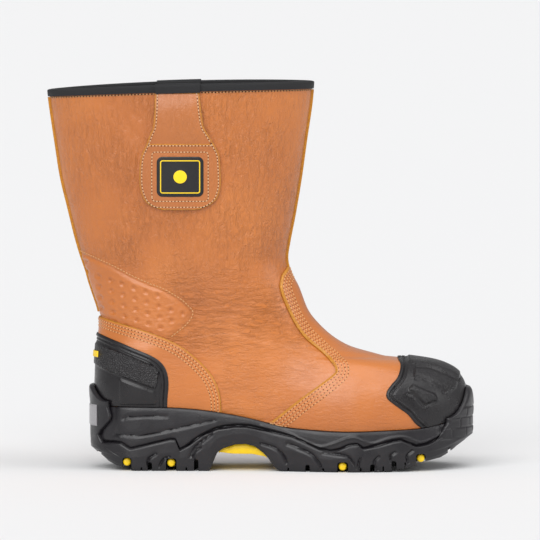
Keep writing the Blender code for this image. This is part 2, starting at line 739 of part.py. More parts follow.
def build_arch_insert():
    places = [0.336, 0.346, 0.374, 0.404, 0.428, 0.447, 0.456]
    rows = []
    for place in places:
        top = ground_line(place * LENGTH) - GAP
        low = ARCH_LOW if place < 0.44 else ARCH_LOW * 0.75
        lateral, medial = side_of(place, -1, -0.0005), side_of(place, 1, -0.0005)
        rows.append([
            Vector((lateral.x, lateral.y, low)), Vector((medial.x, medial.y, low)),
            Vector((medial.x, medial.y, top)), Vector((lateral.x, lateral.y, top)),
        ])
    work = bmesh.new()
    verts = [[work.verts.new(p) for p in row] for row in rows]
    for back, front in zip(verts, verts[1:]):
        for i in range(4):
            j = (i + 1) % 4
            work.faces.new((back[i], back[j], front[j], front[i]))
    work.faces.new(verts[0])
    work.faces.new(verts[-1])
    bmesh.ops.recalc_face_normals(work, faces=work.faces)
    mesh = bpy.data.meshes.new("arch_insert")
    work.to_mesh(mesh)
    work.free()
    return add_object("arch_insert", mesh, "yellow")


def build_vamp():
    made = layer("vamp", VAMP_TOP, FRONT_COLUMNS, GAP, VAMP_THICK, "leather")
    back = smooth_edge(VAMP_EDGE)
    front = shifted(smooth_edge(CAP_EDGE), -GAP, 0)
    boolean(made, prism("vamp_outline", back + front[::-1] + [(0.60 * LENGTH, HEIGHT / 2)]), "INTERSECT")


def build_toe_cap():
    made = layer("toe_cap", CAP_TOP, CAP_COLUMNS, GAP, CAP_THICK, "rubber")
    edge = smooth_edge(CAP_EDGE)
    ahead = [(1.1 * LENGTH, edge[-1][1]), (1.1 * LENGTH, edge[0][1])]
    boolean(made, prism("cap_outline", edge + ahead), "INTERSECT")
    for name, outline in CAP_PADS.items():
        raise_pad(made, name, outline, CAP_TOP, CAP_COLUMNS, CAP_THICK, CAP_PAD)


def raise_pad(made, name, outline, top_level, columns, base, rise):
    """Raises a pad of the given side outline out of a layer that is already cut."""
    depth = 0.5 * base
    pad = layer(name, top_level, columns, GAP + base - depth, depth + rise, None, "cutters")
    places = [(place * LENGTH, height_of(height)) for place, height in outline]
    boolean(pad, prism(f"{name}_outline", places), "INTERSECT")
    boolean(made, helper(pad), "UNION")


def build_heel_band():
    made = layer("heel_band", BAND_TOP, BACK_COLUMNS, GAP, BAND_THICK, "leather")
    low = shifted(smooth_edge(COUNTER_EDGE), GAP, GAP)
    boolean(made, prism("band_outline", smooth_edge(BAND_EDGE) + low[::-1]), "INTERSECT")


def build_heel_counter():
    made = layer("heel_counter", BAND_TOP, BACK_COLUMNS, GAP, COUNTER_THICK, "rubber")
    edge = smooth_edge(COUNTER_EDGE)
    boolean(made, prism("counter_outline", edge + [(edge[0][0], edge[-1][1])]), "INTERSECT")
    for name, outline in COUNTER_PADS.items():
        raise_pad(made, name, outline, BAND_TOP, BACK_COLUMNS, COUNTER_THICK, COUNTER_PANEL)


def strap_spots(side, rows, columns):
    spots = []
    for height, left, right in rows:
        row = []
        for c in range(columns + 1):
            level, turn = shaft_spot(left + (right - left) * c / columns, height)
            row.append((level, side * turn))
        spots.append(row)
    return spots


def strap_out(level, turn):
    low = shaft_spot(0, STRAP_FREE[0])[0]
    high = shaft_spot(0, STRAP_FREE[1])[0]
    share = min(max((level - low) / (high - low), 0.0), 1.0)
    return GAP + STRAP_LIFT * math.sin(math.pi * share) ** 0.8


def build_straps():
    for side, label in ((-1, "lateral"), (1, "medial")):
        spots = strap_spots(side, STRAP_ROWS, 4)
        skin(f"pull_strap_{label}", spots, strap_out, STRAP_THICK, "leather")
        rows = []
        for i in range(9):
            height = BADGE_LOW + (BADGE_HIGH - BADGE_LOW) * (1 - math.cos(math.pi * i / 8)) / 2
            span = (BADGE_HIGH - BADGE_LOW) * (HEIGHT - ANKLE_HEIGHT) / SHAFT_DEPTH
            down = min(height - BADGE_LOW, BADGE_HIGH - height) / (BADGE_HIGH - BADGE_LOW) * span
            inset = 0.0
            if down < BADGE_CORNER:
                inset = BADGE_CORNER - math.sqrt(BADGE_CORNER**2 - (BADGE_CORNER - down) ** 2)
            rows.append((height, -BADGE_HALF + inset, BADGE_HALF - inset))
        spots = strap_spots(side, rows, 4)
        skin(f"badge_{label}", spots, GAP + STRAP_THICK + GAP, BADGE_THICK, "textile")


def build_binding():
    outer, inner = GAP, -WALL - GAP
    rim = ring_at(RIM_LEVEL)["front_height"]
    per_level = ring_at(TOP_LEVEL)["front_height"] - ring_at(TOP_LEVEL - 1)["front_height"]
    profile = (
        (outer, -BINDING_DROP), (outer + BINDING_THICK, -BINDING_DROP),
        (outer + BINDING_THICK, BINDING_CROWN * 0.4), (outer, GAP + BINDING_CROWN),
        (inner, GAP + BINDING_CROWN), (inner - BINDING_THICK, BINDING_CROWN * 0.4),
        (inner - BINDING_THICK, -BINDING_DROP), (inner, -BINDING_DROP),
        (inner, GAP), (outer, GAP),
    )
    count = 2 * COLUMNS
    work = bmesh.new()
    loops = []
    for out, lift in profile:
        loop = []
        for c in range(count):
            turn = -1 + 2 * c / count
            p = surface(RIM_LEVEL + min(lift, 0) / per_level, turn, out)
            p.z += max(lift, 0)
            loop.append(work.verts.new(p))
        loops.append(loop)
    for k, loop in enumerate(loops):
        nearby = loops[(k + 1) % len(loops)]
        for c in range(count):
            d = (c + 1) % count
            work.faces.new((loop[c], loop[d], nearby[d], nearby[c]))
    bmesh.ops.recalc_face_normals(work, faces=work.faces)
    mesh = bpy.data.meshes.new("collar_binding")
    work.to_mesh(mesh)
    work.free()
    return add_object("collar_binding", mesh, "textile")


def build_webbing():
    per_level = ring_at(TOP_LEVEL)["front_height"] - ring_at(TOP_LEVEL - 1)["front_height"]
    outer = GAP + BINDING_THICK + GAP
    inner = -WALL - GAP - BINDING_THICK - GAP
    crown = GAP + BINDING_CROWN + 2 * GAP
    path = (
        (outer, -BINDING_DROP), (outer, BINDING_CROWN * 0.4 + GAP), (outer - BINDING_THICK, crown),
        (inner + BINDING_THICK, crown), (inner, BINDING_CROWN * 0.4 + GAP), (inner, -BINDING_DROP),
        (inner, -WEBBING_TAIL),
    )
    for side, label in ((-1, "lateral"), (1, "medial")):
        rows = []
        for out, lift in path:
            row = []
            for c in range(5):
                place = WEBBING_BACK + (WEBBING_FRONT - WEBBING_BACK) * c / 4
                _, turn = shaft_spot(place, STRAP_FREE[1])
                p = surface(RIM_LEVEL + min(lift, 0) / per_level, side * turn, out)
                p.z += max(lift, 0)
                row.append(p)
            rows.append(row)
        name = f"webbing_{label}"
        made = add_object(name, grid_mesh(name, rows, flip=side > 0), "textile")
        thicken(made, WEBBING_THICK, 1)


def build_seams():
    seams = (("front_seam", 0.0, FRONT_SEAM_LEVELS, 8), ("back_seam", 1.0, BACK_SEAM_LEVELS, 12))
    for name, turn, (low, high), count in seams:
        levels = [low + (high - low) * i / count for i in range(count + 1)]
        spots = [[(level, turn + d) for d in (-SEAM_TURN, 0.0, SEAM_TURN)] for level in levels]
        skin(name, spots, 2 * GAP, SEAM_THICK, "edge")


def build_heel_marks():
    spots = [[(level, 1 + BAR_TURN * i / 2) for i in range(-2, 3)] for level in BAR_LEVELS]
    skin("heel_bar", spots, GAP + COUNTER_THICK + COUNTER_PANEL + 2 * GAP, BAR_THICK, "yellow")
    steps = range(-REFLECTOR_STEPS, REFLECTOR_STEPS + 1)
    line = [plan(1 + CLIP_TURN * i / CLIP_STEPS, CLIP_INSIDE + CLIP_THICK + GAP) for i in steps]
    rows = [[Vector((p.x, p.y, height)) for p in line] for height in (REFLECTOR_LOW, REFLECTOR_HIGH)]
    made = add_object("reflector", grid_mesh("reflector", rows), "grey")
    thicken(made, REFLECTOR_THICK, 1)


def main():
    for old in list(bpy.data.objects):
        bpy.data.objects.remove(old)
    for name in ("rigger_boot", "cutters"):
        bpy.context.scene.collection.children.link(bpy.data.collections.new(name))
    turns = full_turn(sole_turns())
    build_upper()
    build_insole()
    build_midsole(turns)
    outsole = build_outsole(turns)
    build_clip_and_bumper(outsole)
    cut_lugs(outsole)
    cut_channels(outsole)
    build_studs()
    build_arch_insert()
    build_vamp()
    build_toe_cap()
    build_heel_band()
    build_heel_counter()
    build_straps()
    build_binding()
    build_webbing()
    build_seams()
    build_heel_marks()


main()
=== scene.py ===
"""Looks of a rigger boot for the right foot, made around its solids.

The toe points along +X, the inner (medial) side is +Y, and the floor is z = 0. Leather and rubber lie on
one surface of rings. A ring runs round the boot from the front of its centreline (turn 0) to its back
(turn 1 on the medial side, -1 on the lateral side), and its level counts the rings from the feather edge
on the sole (0) up to the collar.
"""

import math

import bmesh
import bpy
import numpy as np
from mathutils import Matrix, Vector, kdtree


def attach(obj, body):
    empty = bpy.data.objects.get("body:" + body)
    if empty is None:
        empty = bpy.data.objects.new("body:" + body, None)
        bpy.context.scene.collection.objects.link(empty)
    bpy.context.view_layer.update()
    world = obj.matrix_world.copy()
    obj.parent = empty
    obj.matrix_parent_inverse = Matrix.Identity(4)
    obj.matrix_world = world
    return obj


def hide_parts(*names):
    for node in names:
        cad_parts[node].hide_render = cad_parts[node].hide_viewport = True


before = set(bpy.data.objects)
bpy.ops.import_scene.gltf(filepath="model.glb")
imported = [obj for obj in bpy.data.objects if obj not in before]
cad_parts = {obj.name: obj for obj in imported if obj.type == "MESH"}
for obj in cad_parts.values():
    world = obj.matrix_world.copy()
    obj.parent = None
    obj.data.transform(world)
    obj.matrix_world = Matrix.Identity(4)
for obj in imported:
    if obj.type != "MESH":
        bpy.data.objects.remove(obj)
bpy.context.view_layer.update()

# Driving sizes of the boot, in metres
LENGTH = 0.310
HEIGHT = 0.312
HEEL_SEAT = 0.0515
ANKLE_HEIGHT = 0.150
BALL_WIDTH, WAIST_WIDTH, HEEL_WIDTH = 0.104, 0.070, 0.071
SHAFT_DEPTH, SHAFT_WIDTH, SHAFT_AXIS = 0.212, 0.088, 0.0728
TOE_SWING, WAIST_SWING, SIDE_SHIFT = 0.007, 0.002, 0.0033
WALL, GAP, SEAT_GAP = 0.0022, 0.0003, 0.0005
VAMP_THICK, BAND_THICK = 0.0017, 0.0017
COUNTER_THICK, COUNTER_PANEL = 0.0026, 0.0010
CAP_THICK, CAP_PAD = 0.0030, 0.0014
STRAP_THICK, STRAP_LIFT, BADGE_THICK = 0.0020, 0.0028, 0.0012
BINDING_THICK, BINDING_DROP, BINDING_CROWN, WEBBING_THICK = 0.0013, 0.0050, 0.0011, 0.0010
BAR_THICK, REFLECTOR_THICK = 0.0007, 0.0008
INSOLE_THICK, INSOLE_MARGIN = 0.0040, 0.0012
MIDSOLE_SHOWN, MIDSOLE_HIDDEN, LIP_HEIGHT = 0.0050, 0.0036, 0.0010
CLIP_INSIDE, CLIP_THICK = 0.0041, 0.0027
CLIP_TURN, BUMPER_TURN = 0.137, 0.160
RIM_LEVEL, TOP_LEVEL, LAYER_START = 20.92, 21, 0.03
HEEL_X = -(LENGTH + SHAFT_AXIS - SHAFT_DEPTH / 2 - BINDING_THICK - GAP) / 2
HEEL_STATION, WAIST_STATION, BALL_STATION = 0.17, 0.43, 0.70
COLLAR_EASE = 2.2
SHAFT_SCALE = (HEIGHT - ANKLE_HEIGHT) / SHAFT_DEPTH
SIDES = ((-1, "lateral"), (1, "medial"))

# Heights are shares of the foot up to 1 at the ankle, and of the shaft from there to 2 at the collar.
# Columns: front, front_height, back, back_height, heel, waist, ball, nose, tail, edge, follow
FOOT_RINGS = (
    (0.972, -0.133, 0.022, 0.000, 0.93, 0.957, 0.962, 0.200, 0.116, 0.47, 1.00),
    (0.974, -0.036, 0.020, 0.070, 0.98, 0.994, 1.000, 0.200, 0.119, 0.47, 0.87),
    (0.972, 0.070, 0.019, 0.151, 1.00, 1.014, 1.000, 0.200, 0.123, 0.47, 0.72),
    (0.960, 0.184, 0.020, 0.241, 1.01, 1.030, 0.952, 0.206, 0.129, 0.47, 0.58),
    (0.938, 0.255, 0.021, 0.330, 1.01, 1.030, 0.865, 0.226, 0.135, 0.47, 0.43),
    (0.898, 0.308, 0.022, 0.411, 1.00, 1.030, 0.770, 0.245, 0.145, 0.48, 0.28),
    (0.841, 0.338, 0.024, 0.488, 1.00, 1.030, 0.690, 0.271, 0.155, 0.49, 0.14),
    (0.784, 0.354, 0.025, 0.557, 0.99, 1.030, 0.654, 0.290, 0.168, 0.50, 0.05),
    (0.728, 0.398, 0.027, 0.626, 0.99, 1.030, 0.635, 0.290, 0.181, 0.50, 0.00),
    (0.674, 0.450, 0.027, 0.695, 0.99, 1.030, 0.635, 0.290, 0.194, 0.50, 0.00),
    (0.630, 0.527, 0.022, 0.785, 0.99, 1.030, 0.654, 0.284, 0.210, 0.50, 0.00),
    (0.591, 0.635, 0.012, 0.882, 1.00, 1.037, 0.673, 0.277, 0.226, 0.50, 0.00),
    (0.560, 0.760, 0.000, 0.996, 1.02, 1.057, 0.702, 0.277, 0.242, 0.51, 0.00),
)
# Columns: front, front_height, back, back_height, half, nose, tail, edge, as shares of the shaft's depth
SHAFT_RINGS = (
    (0.442, 0.943, -0.356, 1.057, 0.85, 0.415, 0.373, 0.52),
    (0.413, 1.042, -0.374, 1.126, 0.87, 0.415, 0.387, 0.53),
    (0.400, 1.116, -0.389, 1.190, 0.89, 0.415, 0.401, 0.55),
    (0.409, 1.205, -0.403, 1.259, 0.91, 0.425, 0.415, 0.56),
    (0.428, 1.333, -0.424, 1.373, 0.94, 0.440, 0.434, 0.57),
    (0.451, 1.511, -0.451, 1.521, 0.97, 0.462, 0.462, 0.58),
    (0.472, 1.709, -0.471, 1.689, 0.99, 0.481, 0.481, 0.58),
    (0.491, 1.877, -0.489, 1.847, 1.00, 0.495, 0.495, 0.58),
    (0.500, 2.000, -0.500, 1.957, 1.00, 0.500, 0.500, 0.58),
)
FRONT, FRONT_HEIGHT, BACK, BACK_HEIGHT, HEEL, WAIST, BALL, NOSE, TAIL, EDGE, FOLLOW = range(11)

# Lines of the sole from the side: places are shares of the length, heights of the heel seat.
TOP_LINE = (
    (0.00, 0.995), (0.20, 0.980), (0.30, 0.935), (0.40, 0.835), (0.50, 0.690), (0.56, 0.650),
    (0.66, 0.620), (0.76, 0.635), (0.86, 0.670), (0.92, 0.745), (1.00, 0.800),
)
WAVE_LINE = (
    (0.000, 0.400), (0.087, 0.404), (0.108, 0.315), (0.157, 0.392), (0.209, 0.466), (0.222, 0.460),
    (0.233, 0.300), (0.258, 0.380), (0.288, 0.513), (0.330, 0.630), (0.374, 0.668), (0.404, 0.668),
    (0.462, 0.598), (0.526, 0.518), (0.562, 0.425), (0.596, 0.330), (0.625, 0.300), (0.645, 0.322),
    (0.672, 0.394), (0.692, 0.405), (0.706, 0.340), (0.744, 0.384), (0.779, 0.447), (0.802, 0.466),
    (0.840, 0.367), (0.866, 0.394), (0.890, 0.466), (0.908, 0.545), (1.000, 0.600),
)
GROUND_LINE = (
    (0.000, 0.260), (0.033, 0.206), (0.047, 0.134), (0.064, 0.089), (0.087, 0.048), (0.108, 0.000),
    (0.310, 0.000), (0.330, 0.290), (0.346, 0.360), (0.374, 0.417), (0.404, 0.427), (0.428, 0.388),
    (0.447, 0.300), (0.462, 0.204), (0.476, 0.078), (0.488, 0.020), (0.500, 0.000), (0.744, 0.000),
    (0.802, 0.047), (0.840, 0.097), (0.866, 0.155), (0.908, 0.206), (0.928, 0.266), (0.960, 0.388),
    (1.000, 0.520),
)
# Outer wall of the outsole: share of its height, then how far out at the side, the toe and the heel
SOLE_WALL = (
    (0.00, 0.0036, -0.0036, -0.0036),
    (0.20, 0.0055, 0.0020, 0.0020),
    (0.60, 0.0066, 0.0070, 0.0066),
    (1.00, 0.0062, 0.0072, 0.0066),
)
# Gaps between lugs: place, width, height of the roof, and whether a stud sits in it
GAPS = (
    (0.0965, 0.0072, 0.0108, True),
    (0.1556, 0.0036, 0.0072, False),
    (0.2110, 0.0084, 0.0102, True),
    (0.2756, 0.0036, 0.0096, False),
    (0.5635, 0.0036, 0.0060, False),
    (0.6540, 0.0086, 0.0084, True),
    (0.7305, 0.0036, 0.0066, False),
    (0.7865, 0.0040, 0.0092, False),
    (0.8560, 0.0078, 0.0145, True),
)
# Edges of the overlays from the side: place along the foot, height
VAMP_EDGE = (
    (0.530, 1.120), (0.506, 1.062), (0.494, 1.022), (0.492, 0.947), (0.508, 0.809), (0.532, 0.658),
    (0.560, 0.541), (0.604, 0.427), (0.629, 0.345), (0.635, 0.301), (0.626, 0.255), (0.545, 0.070),
    (0.465, -0.133), (0.440, -0.200),
)
CAP_EDGE = (
    (0.755, 0.450), (0.778, 0.385), (0.796, 0.352), (0.803, 0.314), (0.795, 0.232), (0.779, 0.176),
    (0.767, 0.124), (0.769, 0.070), (0.795, 0.005), (0.820, -0.052), (0.839, -0.125),
    (0.853, -0.170), (0.865, -0.250),
)
BAND_EDGE = (
    (-0.040, 0.790), (0.019, 0.728), (0.088, 0.666), (0.160, 0.598), (0.227, 0.509), (0.279, 0.387),
    (0.317, 0.253), (0.337, 0.103), (0.341, -0.040), (0.342, -0.200),
)
COUNTER_EDGE = (
    (-0.040, 0.630), (0.017, 0.590), (0.039, 0.568), (0.112, 0.478), (0.165, 0.408), (0.194, 0.325),
    (0.204, 0.208), (0.201, 0.038), (0.200, -0.200),
)

COUNTER_PADS = (
    (
        (-0.040, 0.530), (0.018, 0.498), (0.065, 0.452), (0.111, 0.403), (0.150, 0.352),
        (0.170, 0.325), (0.178, 0.295), (0.176, 0.200), (0.170, 0.150), (0.013, 0.329), (-0.040, 0.380),
    ),
    ((0.078, 0.225), (0.168, 0.120), (0.172, 0.060), (0.172, 0.020), (0.078, 0.020)),
)
CAP_PADS = (
    ((0.834, 0.184), (0.892, 0.104), (0.899, 0.060), (0.870, 0.026), (0.823, 0.129), (0.828, 0.159)),
    (
        (0.841, 0.312), (0.880, 0.293), (0.916, 0.257), (0.952, 0.188), (0.947, 0.143),
        (0.924, 0.099), (0.880, 0.188), (0.840, 0.242),
    ),
    (
        (0.823, 0.500), (0.826, 0.360), (0.843, 0.335), (0.888, 0.317), (0.929, 0.272),
        (0.957, 0.216), (0.964, 0.270), (1.000, 0.500),
    ),
)
CAP_GROOVES = (
    ((0.842, 0.325), (0.877, 0.313), (0.915, 0.265), (0.960, 0.199)),
    ((0.841, 0.244), (0.865, 0.223), (0.895, 0.175), (0.922, 0.110)),
    ((0.822, 0.128), (0.843, 0.098), (0.861, 0.033), (0.869, 0.027), (0.897, 0.057)),
)
# The quilted pad's edge, and its dimples in metres: the first, and the steps across and down their rows
PAD_EDGE = (
    (-0.060, 1.170), (-0.013, 1.146), (0.054, 1.094), (0.112, 1.039), (0.178, 0.980), (0.227, 0.898),
    (0.255, 0.825), (0.267, 0.764), (0.250, 0.671), (0.203, 0.549), (0.185, 0.480), (0.170, 0.400),
)
DIMPLE_START, DIMPLE_ACROSS, DIMPLE_DOWN = (0.0067, 0.1640), (0.0095, -0.0029), (0.0007, -0.0086)
# Straps from the foot up: height, then both edges as shares of the shaft's depth
STRAP_ROWS = (
    (1.370, -0.060, 0.060), (1.384, -0.098, 0.092), (1.402, -0.122, 0.118), (1.430, -0.138, 0.138),
    (1.480, -0.150, 0.150), (1.540, -0.152, 0.151), (1.600, -0.150, 0.149), (1.644, -0.143, 0.145),
    (1.689, -0.127, 0.128), (1.738, -0.113, 0.106), (1.780, -0.100, 0.088), (1.850, -0.095, 0.079),
    (1.951, -0.094, 0.072),
)
STRAP_FREE = (1.66, 1.93)
STRAP_PATCH, STRAP_PATCH_TOP = 0.0009, 8.2
STRAP_SEAM_LOW, STRAP_SEAM_HIGH, STRAP_SEAM_HALF = 1.414, 1.657, 0.104
BADGE_LOW, BADGE_HIGH, BADGE_HALF, BADGE_CORNER = 1.436, 1.634, 0.087, 0.022
BADGE_FRAME, BADGE_DISC = (0.0032, 0.0008), 0.0052
WEBBING_BACK, WEBBING_FRONT, WEBBING_TAIL = -0.092, 0.075, 0.0150
REFLECTOR_LOW, REFLECTOR_HIGH, REFLECTOR_SHARE = 0.0350, 0.0520, 0.6
BAR_LEVELS, BAR_TURN = (4.70, 5.32), 0.071
SEAMS = (("front_seam", 0.0, 14.30, 20.63), ("back_seam", 1.0, 9.70, 20.63))
LUG_REACH, CHANNEL_WIDTH, CHANNEL_DEPTH = 0.026, 0.0045, 0.0055
ARCH_LOW = ((0.334, 0.0150), (0.368, 0.0137), (0.420, 0.0135), (0.458, 0.0112))
CHANNELS = ((0.02, 0.31, 0.012), (0.495, 0.84, 0.023))
STUD_RADIUS, STUD_LENGTH, STUD_SETBACK = 0.0033, 0.0080, 0.0020
NOTCHES = (
    (0.024, 0.0030, 0.0150), (0.134, 0.0013, 0.0030), (0.250, 0.0013, 0.0032), (0.5135, 0.0013, 0.0032),
    (0.604, 0.0013, 0.0032), (0.7006, 0.0013, 0.0036), (0.7587, 0.0013, 0.0050), (0.8155, 0.0013, 0.0080),
    (0.9310, 0.0025, 0.0185),
)
# Side edges of the toe bumper and the heel clip: share of the way up the sole's side, share of their reach
BUMPER_FLAP = ((0.0, 1.65), (0.2, 1.44), (0.5, 1.18), (1.0, 1.0))
CLIP_FLAP = (
    (0.0, 1.45), (0.1, 1.15), (0.22, 0.72), (0.34, 0.6), (0.48, 0.7), (0.7, 0.95), (0.8, 1.0), (1.0, 0.93),
)
BRICK_HEIGHTS, BRICK_LENGTH = (0.026, 0.034, 0.042, 0.050), 0.014
# Lines moulded into the sole's side: places along the foot, heights as shares of the heel seat
SWOOSHES = (
    ((0.090, 0.801), (0.101, 0.839), (0.135, 0.858), (0.203, 0.852)),
    ((0.064, 0.569), (0.131, 0.556), (0.191, 0.621), (0.251, 0.698), (0.328, 0.801)),
    ((0.251, 0.376), (0.276, 0.505), (0.319, 0.646), (0.362, 0.711), (0.413, 0.711), (0.473, 0.621)),
)
RIDGES = (
    (
        (0.441, 0.717), (0.512, 0.610), (0.591, 0.408), (0.631, 0.443), (0.678, 0.543), (0.726, 0.455),
        (0.773, 0.527), (0.809, 0.550), (0.844, 0.467), (0.868, 0.491), (0.907, 0.610),
    ),
)
FLANKS = (
    ((0.441, 0.443), (0.481, 0.372), (0.504, 0.253), (0.514, 0.111)),
    ((0.512, 0.455), (0.572, 0.301), (0.595, 0.158), (0.605, 0.015)),
    ((0.605, 0.313), (0.662, 0.265), (0.678, 0.182), (0.690, 0.039)),
    ((0.700, 0.004), (0.694, 0.134), (0.700, 0.241)),
    ((0.745, 0.015), (0.734, 0.158), (0.747, 0.265)),
    ((0.781, 0.134), (0.775, 0.253), (0.789, 0.325)),
    ((0.820, 0.134), (0.816, 0.253), (0.830, 0.348)),
    ((0.150, 0.054), (0.152, 0.183), (0.174, 0.286)),
    ((0.208, 0.234), (0.191, 0.183), (0.178, 0.054)),
    ((0.272, 0.157), (0.270, 0.286), (0.289, 0.389)),
    ((0.319, 0.595), (0.276, 0.389), (0.259, 0.208)),
)
# Groups of folds: the first and the last line of (place, height) points, how many, width and depth
SHAFT_MIRROR = 0.47
CREASES = (
    (((0.01, 1.86), (0.04, 1.78), (0.07, 1.66)), ((0.11, 1.86), (0.13, 1.8), (0.15, 1.72)),
     6, 0.0022, 0.0005),
    (((0.01, 1.62), (0.06, 1.56), (0.11, 1.5)), ((0.06, 1.86), (0.11, 1.7), (0.14, 1.6)),
     4, 0.0026, 0.00045),
    (((0.15, 1.34), (0.18, 1.25), (0.2, 1.16)), ((0.35, 1.4), (0.385, 1.33), (0.4, 1.24)),
     9, 0.0024, 0.0006),
    (((0.01, 1.3), (0.07, 1.31), (0.14, 1.27)), ((0.02, 1.2), (0.08, 1.19), (0.15, 1.16)),
     3, 0.0022, 0.0004),
    (((0.36, 1.84), (0.41, 1.72), (0.43, 1.58)), ((0.44, 1.83), (0.48, 1.72), (0.5, 1.6)),
     5, 0.0024, 0.00045),
    (((0.38, 1.4), (0.43, 1.42), (0.5, 1.4)), ((0.39, 1.24), (0.44, 1.26), (0.5, 1.23)),
     4, 0.0024, 0.0004),
    (((0.3, 0.94), (0.36, 0.96), (0.43, 0.92)), ((0.25, 0.56), (0.35, 0.6), (0.47, 0.53)),
     9, 0.0022, 0.0006),
    (((0.33, 1.1), (0.38, 1.12), (0.44, 1.08)), ((0.3, 0.98), (0.37, 1.00), (0.44, 0.96)),
     3, 0.003, 0.0004),
)
VIEW_WIDTH, VIEW_MIDDLE, NEAR_SIDE = 0.432, (0.007, 0.0, 0.159), 0.045
CAMERA_AWAY, CAMERA_RISE = 6.0, 3.5
# Lamps: name, the way to it, strength and spread in degrees
LAMPS = (
    ("overhead", (0.3, -0.25, 1.0), 0.9, 45),
    ("front_left", (-0.35, -1.0, 0.75), 2.25, 52),
    ("right", (1.2, -0.4, 0.5), 0.5, 30),
)


def hermite(start, end, slope_start, slope_end, at):
    square, cube = at * at, at * at * at
    return (
        (2 * cube - 3 * square + 1) * start + (cube - 2 * square + at) * slope_start
        + (3 * square - 2 * cube) * end + (cube - square) * slope_end
    )


def read_rows(rows, at):
    """Every column of a table read smoothly at fractional row numbers."""
    rows, at = np.asarray(rows, float), np.asarray(at, float)
    first = np.clip(np.floor(at).astype(int), 0, len(rows) - 2)
    padded = np.vstack([2 * rows[:1] - rows[1:2], rows, 2 * rows[-1:] - rows[-2:-1]])
    before, start, end, after = (padded[first + i] for i in range(4))
    return hermite(start, end, (end - before) / 2, (after - start) / 2, (at - first)[:, None])


def read_line(line, place, smooth=False):
    """The height of a line of (place, height) points at each place."""
    line = np.asarray(line, float)
    place = np.clip(np.asarray(place, float), line[0, 0], line[-1, 0])
    index = np.clip(np.searchsorted(line[:, 0], place), 1, len(line) - 1)
    start, end = line[index - 1], line[index]
    run = end[..., 0] - start[..., 0]
    share = (place - start[..., 0]) / run
    if not smooth:
        return start[..., 1] + (end[..., 1] - start[..., 1]) * share
    before, after = line[np.maximum(index - 2, 0)], line[np.minimum(index + 1, len(line) - 1)]
    first = (end[..., 1] - before[..., 1]) / (end[..., 0] - before[..., 0])
    last = (after[..., 1] - start[..., 1]) / (after[..., 0] - start[..., 0])
    return hermite(start[..., 1], end[..., 1], first * run, last * run, share)


def ease(at):
    at = np.clip(at, 0.0, 1.0)
    return at * at * (3 - 2 * at)


def blend(start, end, at):
    return start + (end - start) * ease(at)


def unit(vectors):
    return vectors / np.maximum(np.linalg.norm(vectors, axis=-1, keepdims=True), 1e-12)


def top_line(x):
    return HEEL_SEAT * read_line(TOP_LINE, x / LENGTH, True)


def wave_line(x):
    return HEEL_SEAT * read_line(WAVE_LINE, x / LENGTH)


def ground_line(x):
    return HEEL_SEAT * read_line(GROUND_LINE, x / LENGTH)


def height_of(share):
    """Height shares in metres above the floor."""
    share = np.asarray(share, float)
    foot = HEEL_SEAT + share * (ANKLE_HEIGHT - HEEL_SEAT)
    return np.where(share <= 1, foot, ANKLE_HEIGHT + (share - 1) * (HEIGHT - ANKLE_HEIGHT))


def rings_in_metres():
    half = (HEEL_WIDTH / 2, WAIST_WIDTH / 2, BALL_WIDTH / 2)
    foot = np.array(FOOT_RINGS)
    foot[:, [FRONT, BACK, NOSE, TAIL]] *= LENGTH
    foot[:, FRONT_HEIGHT] = height_of(foot[:, FRONT_HEIGHT])
    foot[:, BACK_HEIGHT] = height_of(foot[:, BACK_HEIGHT])
    foot[:, [HEEL, WAIST, BALL]] *= half
    foot[0, FRONT_HEIGHT] = top_line(foot[0, FRONT]) + SEAT_GAP
    foot[0, BACK_HEIGHT] = top_line(foot[0, BACK]) + SEAT_GAP
    shaft = np.zeros((len(SHAFT_RINGS), foot.shape[1]))
    front, front_height, back, back_height, width, nose, tail, edge = np.array(SHAFT_RINGS).T
    shaft[:, FRONT], shaft[:, BACK] = SHAFT_AXIS + front * SHAFT_DEPTH, SHAFT_AXIS + back * SHAFT_DEPTH
    shaft[:, FRONT_HEIGHT], shaft[:, BACK_HEIGHT] = height_of(front_height), height_of(back_height)
    shaft[:, [HEEL, WAIST, BALL]] = (width * SHAFT_WIDTH / 2)[:, None]
    shaft[:, NOSE], shaft[:, TAIL], shaft[:, EDGE] = nose * SHAFT_DEPTH, tail * SHAFT_DEPTH, edge
    return np.vstack([foot, shaft])


RINGS = rings_in_metres()


def round_end(share, edge):
    return (1 - (1 - np.clip(share, 0.0, 1.0)) ** 2) ** edge


def half_width(ring, x):
    share = x / LENGTH
    width = blend(ring[HEEL], ring[WAIST], (share - HEEL_STATION) / (WAIST_STATION - HEEL_STATION))
    width = blend(width, ring[BALL], (share - WAIST_STATION) / (BALL_STATION - WAIST_STATION))
    front = round_end((ring[FRONT] - x) / ring[NOSE], ring[EDGE])
    return width * front * round_end((x - ring[BACK]) / ring[TAIL], ring[EDGE])


def swing(x, follow):
    """How far the centreline lies to the medial side."""
    share = x / LENGTH
    toe = TOE_SWING * ease((share - 0.52) / 0.45)
    return toe - follow * WAIST_SWING * np.exp(-(((share - WAIST_STATION) / 0.14) ** 2)) - SIDE_SHIFT


def ring_height(ring, x):
    u = np.clip((x - ring[BACK]) / (ring[FRONT] - ring[BACK]), 0.0, 1.0)
    eased = 1 - (1 - u) ** COLLAR_EASE
    above = (ring[FRONT_HEIGHT] - ANKLE_HEIGHT) / (HEIGHT - ANKLE_HEIGHT)
    height = ring[BACK_HEIGHT] + (ring[FRONT_HEIGHT] - ring[BACK_HEIGHT]) * (u + (eased - u) * ease(above))
    back, front = top_line(ring[BACK]), top_line(ring[FRONT])
    return height + ring[FOLLOW] * (top_line(x) - back - (front - back) * u)


